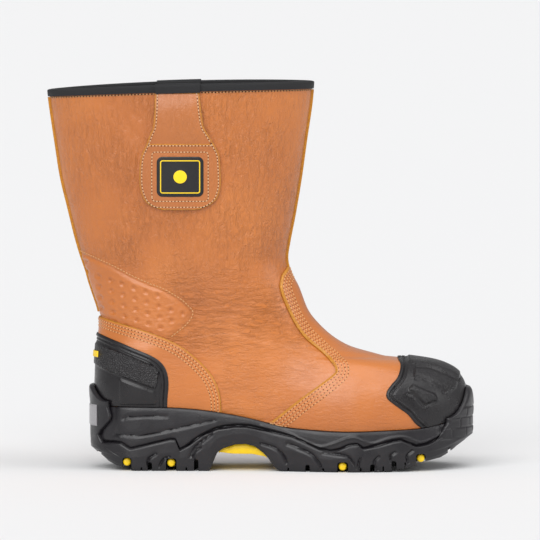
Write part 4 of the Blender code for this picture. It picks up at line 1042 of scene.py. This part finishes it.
def build_ankle_pad():
    """The quilted pad round the back of the ankle, puffed between its stitches and its dimples."""
    level, turn = patch(PAD_EDGE, 1, *PAD_GRID, PAD_START)
    places = point(level, turn)
    off = from_edge(places, PAD_EDGE, 7.0)
    to_band = from_edge(places, BAND_EDGE)
    to_seam = (1 - np.abs((turn + 1) % 2 - 1)) * SHAFT_DEPTH / 2
    puff = ease(np.minimum(np.minimum(off, to_band + 0.001), to_seam) / PUFF_REACH)
    outer = PUFF * puff - 0.0004 + creases(level, turn)
    x, z = places[..., 0] - HEEL_X, places[..., 2]
    edge = list(zip(*in_metres(PAD_EDGE)))
    edge = [(float(px), float(pz)) for px, pz in edge] + [(-0.03, 0.10), (-0.03, 0.18)]
    for across in range(-1, 9):
        for down in range(-4, 9):
            at_x = DIMPLE_START[0] + across * DIMPLE_ACROSS[0] + down * DIMPLE_DOWN[0]
            at_z = DIMPLE_START[1] + across * DIMPLE_ACROSS[1] + down * DIMPLE_DOWN[1]
            to_edge = min(math.hypot(at_x - px, at_z - pz) for px, pz in edge[:-2])
            if to_edge < PUFF_REACH or not inside(np.array(at_x), np.array(at_z), edge):
                continue
            away = np.hypot(x - at_x, z - at_z)
            outer -= DIMPLE_DEPTH * dip(away, DIMPLE_WIDTH)
            outer += DIMPLE_RISE * dip(away - DIMPLE_RIM, DIMPLE_RIM_WIDTH)
    layer("ankle_pad_leather", level, turn, outer, -0.0012, "leather", "leather_upper",
          marks={"wrinkle": 0.25})
    paths = [(*trail(PAD_EDGE, side, low=PAD_SEAM_START), side) for side, _ in SIDES]
    sew("ankle_pad_stitches", paths, PAD_PITCH, FINE_THREAD, 0.0003, "tan_thread", "leather_upper", False)


def strap_lift(level):
    """How far a strap's inner face stands off the shaft."""
    low, high = (float(shaft_spot(0.0, height)[0]) for height in STRAP_FREE)
    share = np.clip((level - low) / (high - low), 0.0, 1.0)
    return GAP + STRAP_LIFT * np.sin(math.pi * share) ** 0.8


def crowded(count):
    """Shares from 0 to 1 that crowd towards both ends."""
    return (1 - np.cos(np.linspace(0, math.pi, count))) / 2


def strap_grid(rows, side, columns):
    """Levels and turns over a shape whose rows are (height, back edge, front edge)."""
    places = rows[:, 1:2] + (rows[:, 2:3] - rows[:, 1:2]) * crowded(columns)
    level, turn = shaft_spot(places, rows[:, :1])
    return level, side * turn


def grid_border(level, turn):
    """How far each point of a grid is from its border."""
    places = point(level, turn)
    return nearest(places, places.reshape(-1, 3)[border_of(*level.shape)])


def shaft_path(place, height, side):
    """A path of (level, turn, side) through places and heights on one side of the shaft."""
    level, turn = shaft_spot(place, height)
    return level, side * turn, side


def inset_path(rows, side, inset):
    """A path down the back edge of rows, round their foot and up their front edge, set in from them."""
    share = inset / SHAFT_DEPTH
    rise = inset / (HEIGHT - ANKLE_HEIGHT)
    back = np.stack([rows[:, 1] + share, rows[:, 0]], -1)[::-1]
    front = np.stack([rows[:, 2] - share, rows[:, 0]], -1)
    low = rows[0, 0] + rise
    back, front = back[back[:, 1] > low], front[front[:, 1] > low]
    path = np.concatenate([back, front])
    return shaft_path(path[:, 0], path[:, 1], side)


def sew_strap(name, paths, top):
    """Stitches at a height above the strap's inner face."""
    sew(name, paths, FINE_PITCH, FINE_THREAD, lambda level, turn: strap_lift(level) + top, "cream_thread",
        "leather_strap")


def build_straps():
    rows = read_rows(STRAP_ROWS, np.linspace(0, len(STRAP_ROWS) - 1, 110))
    foot = read_rows(STRAP_ROWS, np.linspace(0, STRAP_PATCH_TOP, 64))
    for side, label in SIDES:
        level, turn = strap_grid(rows, side, 44)
        lift, off = strap_lift(level), grid_border(level, turn)
        body = lift + STRAP_THICK * (0.5 + 0.5 * rounded(off, STRAP_ROUND))
        marks = {"rim": rim_mark(off, STRAP_RAW_EDGE), "wrinkle": 0.5}
        layer(f"pull_strap_leather_{label}", level, turn, body, lift, "strap", "leather_strap",
              [f"pull_strap_{label}"], marks=marks, edge="edge")
        level, turn = strap_grid(foot, side, 44)
        lift, off = strap_lift(level) + STRAP_THICK * 0.6, grid_border(level, turn)
        body = lift + (STRAP_THICK * 0.4 + STRAP_PATCH) * (0.3 + 0.7 * rounded(off, PATCH_ROUND))
        marks = {"rim": rim_mark(off, STRAP_RAW_EDGE), "wrinkle": 0.35}
        layer(f"strap_patch_{label}", level, turn, body, lift, "strap", "leather_strap",
              marks=marks, edge="edge")
        across = np.linspace(foot[-1, 1] + 0.012, foot[-1, 2] - 0.012, 30)
        paths = [
            inset_path(foot, side, STRAP_ROW),
            rounded_box(STRAP_SEAM_LOW, STRAP_SEAM_HIGH, STRAP_SEAM_HALF, 0.012, side),
            shaft_path(across, foot[-1, 0] - 0.010, side),
        ]
        sew_strap(f"strap_stitches_{label}", paths, STRAP_THICK + STRAP_PATCH)
        upper = rows[rows[:, 0] > foot[-1, 0] + 0.01]
        edges = (upper[:, 1] + STRAP_ROW / SHAFT_DEPTH, upper[:, 2] - STRAP_ROW / SHAFT_DEPTH)
        paths = [shaft_path(place, upper[:, 0], side) for place in edges]
        sew_strap(f"strap_edge_stitches_{label}", paths, STRAP_THICK)


def rounded_box(low, high, half, corner, side, count=24):
    """A closed path round a rounded box on the shaft, in shares of the shaft's height and depth."""
    places, heights = [], []
    for number, (sx, sz) in enumerate(((-1, -1), (1, -1), (1, 1), (-1, 1), (-1, -1))):
        start = math.pi + number * math.pi / 2
        angles = np.linspace(start, start + math.pi / 2, count) if number < 4 else np.array([math.pi])
        places.append(sx * (half - corner) + corner * np.cos(angles))
        middle = low + corner / SHAFT_SCALE if sz < 0 else high - corner / SHAFT_SCALE
        heights.append(middle + corner / SHAFT_SCALE * np.sin(angles))
    level, turn = shaft_spot(np.concatenate(places), np.concatenate(heights))
    return (*along(level, side * turn, 0.0005), side)


def build_badges():
    height = BADGE_LOW + (BADGE_HIGH - BADGE_LOW) * crowded(50)
    down = np.minimum(height - BADGE_LOW, BADGE_HIGH - height) * SHAFT_SCALE
    inset = BADGE_CORNER - np.sqrt(np.maximum(BADGE_CORNER**2 - np.maximum(BADGE_CORNER - down, 0) ** 2, 0))
    rows = np.stack([height, -BADGE_HALF + inset, BADGE_HALF - inset], -1)
    for side, label in SIDES:
        level, turn = strap_grid(rows, side, 56)
        off = grid_border(level, turn)
        low = strap_lift(level) + STRAP_THICK + GAP
        body = low + BADGE_THICK * (0.35 + 0.65 * rounded(off, PATCH_ROUND))
        centre = point(*shaft_path(0.0, (BADGE_LOW + BADGE_HIGH) / 2, side)[:2])
        away = np.linalg.norm(point(level, turn) - centre, axis=-1)
        frame_line = np.abs(off - BADGE_FRAME[0]) - BADGE_FRAME[1] / 2
        ink = np.minimum(frame_line, away - BADGE_DISC)
        body = body + 0.00015 * (ink < 0)
        layer(f"badge_patch_{label}", level, turn, body, low, "patch", "black_patch", [f"badge_{label}"],
              marks={"ink": np.clip(0.5 - ink / 0.002, 0, 1)})


def build_binding():
    """The folded tape round the collar, and the webbing that carries each strap over it."""
    rim = ring_at(TOP_LEVEL)[FRONT_HEIGHT] - ring_at(TOP_LEVEL - 1)[FRONT_HEIGHT]

    def over(turn, out, lift):
        places = surface(RIM_LEVEL + np.minimum(lift, 0) / rim, turn, out)
        places[..., 2] += np.maximum(lift, 0)
        return places

    arc = np.linspace(0, math.pi, 11)
    half = WALL / 2 + GAP + BINDING_THICK
    middle = -WALL / 2
    crown = GAP + BINDING_CROWN
    hump = np.sqrt(np.sin(arc))
    outs = np.concatenate([[middle + half, middle + half + 0.0001], middle + half * np.cos(arc),
                           [middle - half, middle - half], [-WALL - GAP, -WALL - GAP, GAP, GAP]])
    lifts = np.concatenate([[-BINDING_DROP, -BINDING_DROP * 0.6], crown * hump,
                            [-BINDING_DROP * 0.6, -BINDING_DROP], [-BINDING_DROP, GAP, GAP, -BINDING_DROP]])
    turns = np.linspace(-1, 1, 360, endpoint=False)
    turn, out = np.meshgrid(turns, outs, indexing="ij")
    lift = np.broadcast_to(lifts, turn.shape)
    verts = over(turn, out, lift)
    faces = grid_quads(len(turns), len(outs), closed=True, looped=True)
    make_piece("binding_tape", verts, faces, "tape", "black_textile", ["collar_binding"])

    reach = half + GAP
    outs = np.concatenate([[middle + reach] * 2, middle + reach * np.cos(arc), [middle - reach] * 4])
    lifts = np.concatenate([[-BINDING_DROP - 0.001, -BINDING_DROP * 0.5], (crown + GAP) * hump,
                            [-BINDING_DROP * 0.5, -BINDING_DROP, -WEBBING_TAIL / 2, -WEBBING_TAIL]])
    swell = np.concatenate([[1, 1], np.cos(arc), [-1] * 4]) * WEBBING_THICK
    rise = np.concatenate([[0, 0], np.sin(arc), [0] * 4]) * WEBBING_THICK * 0.6
    for side, label in SIDES:
        place = np.linspace(WEBBING_BACK, WEBBING_FRONT, 30)
        _, turns = shaft_spot(place, STRAP_FREE[1])
        turn, out = np.meshgrid(side * turns, outs, indexing="ij")
        lift = np.broadcast_to(lifts, turn.shape)
        top = over(turn, out + swell, lift + rise)
        sheet_between(f"webbing_tape_{label}", top, over(turn, out, lift), "tape", "black_textile",
                      [f"webbing_{label}"])
    paths = []
    for side, _ in SIDES:
        turn = side * np.linspace(0.012, 0.988, 400)
        keep = np.abs(turn)
        back, front = (shaft_spot(place, STRAP_FREE[1])[1] for place in (WEBBING_BACK, WEBBING_FRONT))
        for low, high in ((0.012, float(front) - 0.004), (float(back) + 0.004, 0.988)):
            part = turn[(keep > low) & (keep < high)]
            paths.append((np.full(len(part), RIM_LEVEL - (BINDING_DROP + 0.0011) / rim), part, side))
    sew("collar_stitches", paths, PAD_PITCH, FINE_THREAD, 0.0002, "tan_thread", "leather_upper")


def build_seams():
    """The raw edges of the two halves of the shaft, side by side."""
    half = [(0.0012, -0.0010), (0.0013, 0.0012), (0.0009, 0.0018), (0.0003, 0.0018), (0.0001, 0.0013)]
    section = np.array(half + [(-x, z) for x, z in half[::-1]])
    for name, turn, low, high in SEAMS:
        steps = np.linspace(low, high, 400)
        places, _, out, forward = path_frame(*along(steps, np.full(400, turn), 0.0012), 1)
        rings = places[:, None] + forward[:, None] * section[:, :1] + out[:, None] * section[:, 1:]
        make_piece(f"{name}_edges", rings, capped(*rings.shape[:2]), "edge", "leather_edge", [name])


def build_heel_marks():
    across = 1 + BAR_TURN * np.linspace(-1, 1, 60)
    level, turn = np.meshgrid(np.linspace(*BAR_LEVELS, 16), across, indexing="ij")
    low = GAP + COUNTER_THICK + COUNTER_PANEL + GAP
    body = low + BAR_THICK * (0.3 + 0.7 * rounded(grid_border(level, turn), 0.0006))
    layer("heel_bar_plate", level, turn, body, low, "yellow", "yellow_rubber", ["heel_bar"])
    reach = CLIP_TURN * REFLECTOR_SHARE
    turns = 1 + np.linspace(-reach, reach, 50)
    heights = np.linspace(REFLECTOR_LOW, REFLECTOR_HIGH, 24)
    off = np.minimum.outer(np.minimum(heights - heights[0], heights[-1] - heights), np.full(50, 1.0))
    base = CLIP_INSIDE + CLIP_THICK + GAP
    inner = np.array([plan(turns, base) for _ in heights])
    lift = REFLECTOR_THICK * (0.4 + 0.6 * rounded(off, 0.0008))
    outer = np.array([plan(turns, base + row) for row in lift])
    inner[..., 2] = outer[..., 2] = heights[:, None]
    sheet_between("reflector_plate", outer, inner, "reflector", "grey_reflector", ["reflector"])


def build_insole():
    half = np.linspace(0.004, 0.996, 110)
    inset = -WALL - INSOLE_MARGIN
    medial, lateral = plan(half, inset), plan(-half, inset)
    across = np.linspace(0, 1, 34)[None, :, None]
    top = medial[:, None] * (1 - across) + lateral[:, None] * across
    low = top.copy()
    seat = top_line(top[..., 0] - HEEL_X) + SEAT_GAP
    edge = np.minimum(across[..., 0], 1 - across[..., 0]) * np.linalg.norm(medial - lateral, axis=1)[:, None]
    low[..., 2] = seat
    top[..., 2] = seat + INSOLE_THICK * (0.55 + 0.45 * rounded(edge, 0.012))
    made = sheet_between("footbed_pad", top, low, "footbed", "footbed", ["insole"])


def sole_columns(spacing=0.0009):
    """Turns round the sole an even distance apart, from the toe round the medial side and back."""
    dense = np.linspace(0, 1, 4000)
    steps = np.linalg.norm(np.diff(plan(dense, MIDSOLE_SHOWN), axis=0), axis=1)
    run = np.concatenate([[0], np.cumsum(steps)])
    half = np.interp(np.linspace(0, run[-1], int(run[-1] / spacing)), run, dense)
    return np.concatenate([half, -half[-2:0:-1]])


def loop_solid(name, rows, *looks, **more):
    """A closed solid from loops of points round the sole, with its two ends bridged side to side."""
    rows = np.array(rows)
    count, columns = rows.shape[:2]
    faces = grid_quads(count, columns, closed=True).tolist()
    for start in (0, (count - 1) * columns):
        loop = list(range(start, start + columns))
        for i in range(columns // 2):
            faces.append(list(dict.fromkeys([loop[i], loop[i + 1], loop[-i - 1], loop[-i]])))
    return make_piece(name, rows.reshape(-1, 3), faces, *looks, **more)


def midsole_out(turn):
    aside = np.abs((turn + 1) % 2 - 1)
    heel = ease((aside - 1 + 1.2 * CLIP_TURN) / (0.15 * CLIP_TURN))
    toe = ease((1.2 * BUMPER_TURN - aside) / (0.15 * BUMPER_TURN))
    return MIDSOLE_SHOWN + (MIDSOLE_HIDDEN - MIDSOLE_SHOWN) * np.maximum(heel, toe)


def sole_height(share):
    return HEEL_SEAT * np.asarray(share, float)


def build_midsole(turns):
    x = place_on(ring_at(0.0), turns)
    low, high = wave_line(x) + GAP, top_line(x) + 0.0004
    rows = []
    for share in np.concatenate([np.linspace(0, 0.9, 22), [0.94, 0.975, 1.0]]):
        bulge = np.interp(share, (0, 0.5, 0.8, 0.94, 0.975, 1), (0, 0, -0.0004, -0.0009, -0.0013, -0.0021))
        height = low + (high - low) * share
        here = np.stack([x + HEEL_X, 0 * x, height], -1)
        cut = line_troughs(here, SWOOSHES, *SWOOSH_LINE, sole_height)
        cut = cut + line_troughs(here, RIDGES, *RIDGE_LINE, sole_height)
        cut = cut + CREVICE_DEPTH * dip(height - low - LIP_HEIGHT - 0.0004, CREVICE_WIDTH)
        row = plan(turns, midsole_out(turns) + bulge - cut)
        row[:, 2] = height
        rows.append(row)
    loop_solid("midsole_wall", rows, "midsole", "black_midsole", ["midsole"])


def wall_out(turns, share):
    """How far the outsole's wall stands out at a share of its height."""
    ahead = point(0.0, turns + 0.01) - point(0.0, turns - 0.01)
    end = unit(ahead[..., :2])[..., 1]
    heights, side, toe, heel = np.array(SOLE_WALL).T
    side, toe, heel = (np.interp(share, heights, line) for line in (side, toe, heel))
    return side + (np.where(end > 0, toe, heel) - side) * end * end


def carve(piece, cutter):
    cut = piece.modifiers.new("cut", "BOOLEAN")
    cut.operation, cut.object, cut.solver = "DIFFERENCE", cutter, "EXACT"
    scene_now = bpy.context.evaluated_depsgraph_get()
    mesh = bpy.data.meshes.new_from_object(piece.evaluated_get(scene_now))
    piece.modifiers.clear()
    piece.data = mesh
    bpy.data.objects.remove(cutter)
    smooth(mesh, 38)


def side_of(place, side, out):
    """The point of the sole's outline, set out, at a place along the foot on the side +1 or -1."""
    front, back = 0.0, 1.0
    for _ in range(30):
        turn = (front + back) / 2
        ahead = plan(side * turn, out)[0] - HEEL_X > place * LENGTH
        front, back = (turn, back) if ahead else (front, turn)
    return plan(side * front, out)


def slots(boxes):
    """Cutters with round roofs: (centre x, outer y, inner y, width, roof)."""
    arc = np.linspace(0, math.pi, 9)
    verts, faces = [], []
    for x, start, end, width, roof in boxes:
        radius = min(width / 2, 0.0022)
        outline = [(x - width / 2, -0.02), (x + width / 2, -0.02)]
        for angle in arc:
            shift = math.copysign(width / 2 - radius, math.cos(angle))
            outline.append((x + shift + radius * math.cos(angle), roof - radius + radius * math.sin(angle)))
        first, count = len(verts), len(outline)
        verts += [(px, start, pz) for px, pz in outline] + [(px, end, pz) for px, pz in outline]
        faces += [list(range(first, first + count)), list(range(first + count, first + 2 * count))]
        faces += [[first + i, first + (i + 1) % count, first + count + (i + 1) % count, first + count + i]
                  for i in range(count)]
    mesh = bpy.data.meshes.new("cutter")
    mesh.from_pydata(verts, [], faces)
    clean(mesh, weld=False)
    return placed("cutter", mesh)


def lug_cutter():
    boxes = []
    gaps = [(place, width, roof) for place, width, roof, _ in GAPS] + list(NOTCHES)
    for place, width, roof in gaps:
        for side, _ in SIDES:
            edge = side_of(place, side, 0.012)
            inner = side * max(side * edge[1] - LUG_REACH - 0.012, 0.006)
            boxes.append((edge[0], edge[1], inner, width, roof))
    return slots(boxes)


def build_outsole(turns):
    x = place_on(ring_at(0.0), turns)
    rows = []
    for share in np.concatenate([[0, 0.03, 0.08], np.linspace(0.14, 0.94, 22), [0.975, 1.0]]):
        foot = plan(turns, wall_out(turns, 0.0))[:, 0] - HEEL_X if share == 0 else x
        low = ground_line(foot)
        height = low + (wave_line(x) + LIP_HEIGHT - low) * share
        here = np.stack([x + HEEL_X, 0 * x, height], -1)
        cut = line_troughs(here, FLANKS, *FLANK_LINE, sole_height) * ease(share / 0.1)
        lip = np.interp(share, (0.0, 0.94, 0.975, 1.0), (0, 0, 0.0002, 0.0007))
        row = plan(turns, wall_out(turns, share) - cut - lip)
        row[:, 2] = height
        rows.append(row)
    for lift in (LIP_HEIGHT, 0):
        row = plan(turns, midsole_out(turns) + GAP)
        row[:, 2] = wave_line(x) + lift
        rows.append(row)
    made = loop_solid("outsole_rubber", rows, "outsole", "black_sole_rubber", ["outsole"])
    carve(made, lug_cutter())
    boxes = []
    for start, end, aside in CHANNELS:
        for side, _ in SIDES:
            middle, half = (start + end) / 2 * LENGTH, CHANNEL_WIDTH / 2
            y = side * aside + float(swing(middle, 1.0))
            boxes.append((HEEL_X + middle, y - half, y + half, (end - start) * LENGTH, CHANNEL_DEPTH))
    carve(made, slots(boxes))


def with_bricks(outer, inner):
    """The toe bumper's outer face with the grooves between its bricks sunk in towards the inner face."""
    groove = np.zeros(outer.shape[:2])
    for height in BRICK_HEIGHTS:
        groove = np.maximum(groove, dip(outer[..., 2] - height, BRICK_LINE))
    course = np.searchsorted(np.array(BRICK_HEIGHTS), outer[..., 2])
    phase = (outer[..., 1] / BRICK_LENGTH + 0.5 * course) % 1.0
    groove = np.maximum(groove, dip(np.minimum(phase, 1 - phase) * BRICK_LENGTH, BRICK_LINE))
    held = (outer[..., 2] < BRICK_HEIGHTS[-1] + 0.001) & (outer[..., 2] > BRICK_HEIGHTS[0] - 0.001)
    return outer - unit(outer - inner) * (groove * held * BRICK_DEPTH)[..., None]


def wrap_face(off):
    """How far out the clip and the bumper stand at a distance from their border."""
    return CLIP_INSIDE + (CLIP_THICK + 0.0004) * (0.1 + 0.9 * rounded(off, WRAP_ROUND))


def build_wrap(name, end, reach_at, top_level, bricks):
    """The heel clip or the toe bumper, which climbs from the outsole's wall over the end of the upper."""
    columns, feet, climbs = 130, 34, 24
    u = np.linspace(-1, 1, columns)
    from_side = (1 - np.abs(u)) * WRAP_HALF
    outer, inner = [], []
    for number in range(feet + climbs + 1):
        share = number / feet
        if share < 1:
            level, top = 0.0, end + reach_at(share) * u
            x = place_on(ring_at(0.0), top)
            start = ground_line(x) + WRAP_START
            z = start + (top_line(x) - start) * share
            wall = wall_out(top, np.clip((z - ground_line(x)) / (wave_line(x) - ground_line(x)), 0, 1))
            above = ease((z - wave_line(x) - 0.001) / 0.007)
            sunk = np.minimum(ease((z - start) / 0.003), ease(from_side / 0.005))
            out = wall + 0.0009 * sunk - 0.0006
            out = out + (wrap_face(from_side) - out) * above
            place, hidden = plan(top, out), plan(top, CLIP_INSIDE - 0.0010 * (1 - above))
            place[:, 2] = hidden[:, 2] = z
        else:
            share = (number - feet) / climbs
            level, top = top_level(np.abs(u)) * share, end + reach_at(1.0) * u
            out = wrap_face(np.minimum(from_side, (1 - share) * 0.018))
            place, hidden = surface(level, top, out), surface(level, top, CLIP_INSIDE)
        outer.append(place)
        inner.append(hidden)
    outer, inner = np.array(outer), np.array(inner)
    if bricks:
        outer = with_bricks(outer, inner)
    made = sheet_between(name, outer, inner, "outsole", "black_sole_rubber", ["outsole"])
    carve(made, lug_cutter())


def build_wraps():
    heel_reach = lambda share: CLIP_TURN * float(np.interp(share, *zip(*CLIP_FLAP)))
    build_wrap("heel_clip_rubber", 1.0, heel_reach, lambda u: blend(2.15, 0.70, (u - 0.15) / 0.8), False)
    toe_reach = lambda share: BUMPER_TURN * float(np.interp(share, *zip(*BUMPER_FLAP)))
    build_wrap("toe_bumper_rubber", 0.0, toe_reach, lambda u: blend(2.5, 0.60, (u - 0.2) / 0.8), True)


def build_studs():
    profile = [(0, 0.0), (0.55, -0.0001), (0.8, -0.0004), (0.93, -0.0009), (1.0, -0.0018)]
    profile.append((1.0, -STUD_LENGTH))
    circle = [(math.cos(a), math.sin(a)) for a in np.arange(28) * 2 * math.pi / 28]
    for number, (place, _, roof, has_stud) in enumerate(GAPS):
        for side, label in SIDES[::-1]:
            if not has_stud:
                continue
            x, y, _ = side_of(place, side, SOLE_WALL[1][1] - STUD_SETBACK)
            middle = roof - GAP - STUD_RADIUS
            verts = []
            for share, deep in profile:
                radius = share * STUD_RADIUS
                verts += [(x + radius * c, y + side * deep, middle + radius * s) for c, s in circle]
            faces = grid_quads(len(profile), 28, closed=True).tolist()
            faces.append(list(range(len(verts) - 28, len(verts))))
            make_piece(f"stud_{label}_{number}", verts, faces, "yellow", "yellow_rubber",
                       [f"lug_stud_{label}_{number}"])


def build_arch_insert():
    places = np.linspace(ARCH_LOW[0][0], ARCH_LOW[-1][0], 60)
    section = [(-1, 0.08), (-1, 0.92), (-0.985, 1.0)]
    section += [(0.985, 1.0), (1, 0.92), (1, 0.08), (0.985, 0.0), (-0.985, 0.0)]
    verts = []
    for place in places:
        top = float(ground_line(place * LENGTH)) - GAP
        low = min(float(np.interp(place, *zip(*ARCH_LOW))), top - 0.0015)
        lateral, medial = side_of(place, -1, -0.0005), side_of(place, 1, -0.0005)
        middle, half = (lateral + medial) / 2, (medial - lateral) / 2
        for aside, share in section:
            verts.append((*(middle + half * aside)[:2], low + (top - low) * share))
    faces = capped(len(places), len(section))
    make_piece("arch_insert_rubber", verts, faces, "yellow", "yellow_rubber", ["arch_insert"])


def build_stage():
    bpy.ops.mesh.primitive_plane_add(size=1, location=(0, 0, 0))
    floor = bpy.context.object
    floor.name = "floor"
    floor.scale = (90, 90, 1)
    made, tree, shader, here = start_material("pale_floor", 0.9, specular=0.1)
    tone = noise(tree, here, 3.0)
    tree.links.new(mixed(tree, tone, (0.795, 0.796, 0.8), (0.805, 0.806, 0.81)), shader.inputs["Base Color"])
    floor.data.materials.append(made)
    scene = bpy.context.scene
    scene.world = bpy.data.worlds.new("white_room")
    scene.world.use_nodes = True
    sky = scene.world.node_tree.nodes["Background"]
    sky.inputs["Color"].default_value = (0.920, 0.922, 0.930, 1)
    sky.inputs["Strength"].default_value = 0.45
    for name, place, strength, spread in LAMPS:
        lamp = bpy.data.lights.new(name, "SUN")
        lamp.energy, lamp.angle = strength, math.radians(spread)
        made = placed(name, lamp)
        made.location = place
        made.rotation_euler = (-Vector(place)).to_track_quat("-Z", "Y").to_euler()
    scene.view_settings.view_transform = "Standard"


def build_camera():
    rise = math.radians(CAMERA_RISE)
    lens = bpy.data.cameras.new("camera")
    lens.sensor_width, lens.lens = 36, 36 * (CAMERA_AWAY - NEAR_SIDE) / VIEW_WIDTH
    made = placed("camera", lens)
    target = Vector(VIEW_MIDDLE)
    made.location = target + CAMERA_AWAY * Vector((0, -math.cos(rise), math.sin(rise)))
    made.rotation_euler = (target - made.location).to_track_quat("-Z", "Y").to_euler()
    bpy.context.scene.camera = made


def main():
    turns = sole_columns()
    build_upper()
    build_ankle_pad()
    build_vamp()
    build_heel_band()
    build_toe_cap()
    build_heel_counter()
    build_straps()
    build_badges()
    build_binding()
    build_seams()
    build_heel_marks()
    build_insole()
    build_midsole(turns)
    build_outsole(turns)
    build_wraps()
    build_studs()
    build_arch_insert()
    build_stage()
    build_camera()


main()
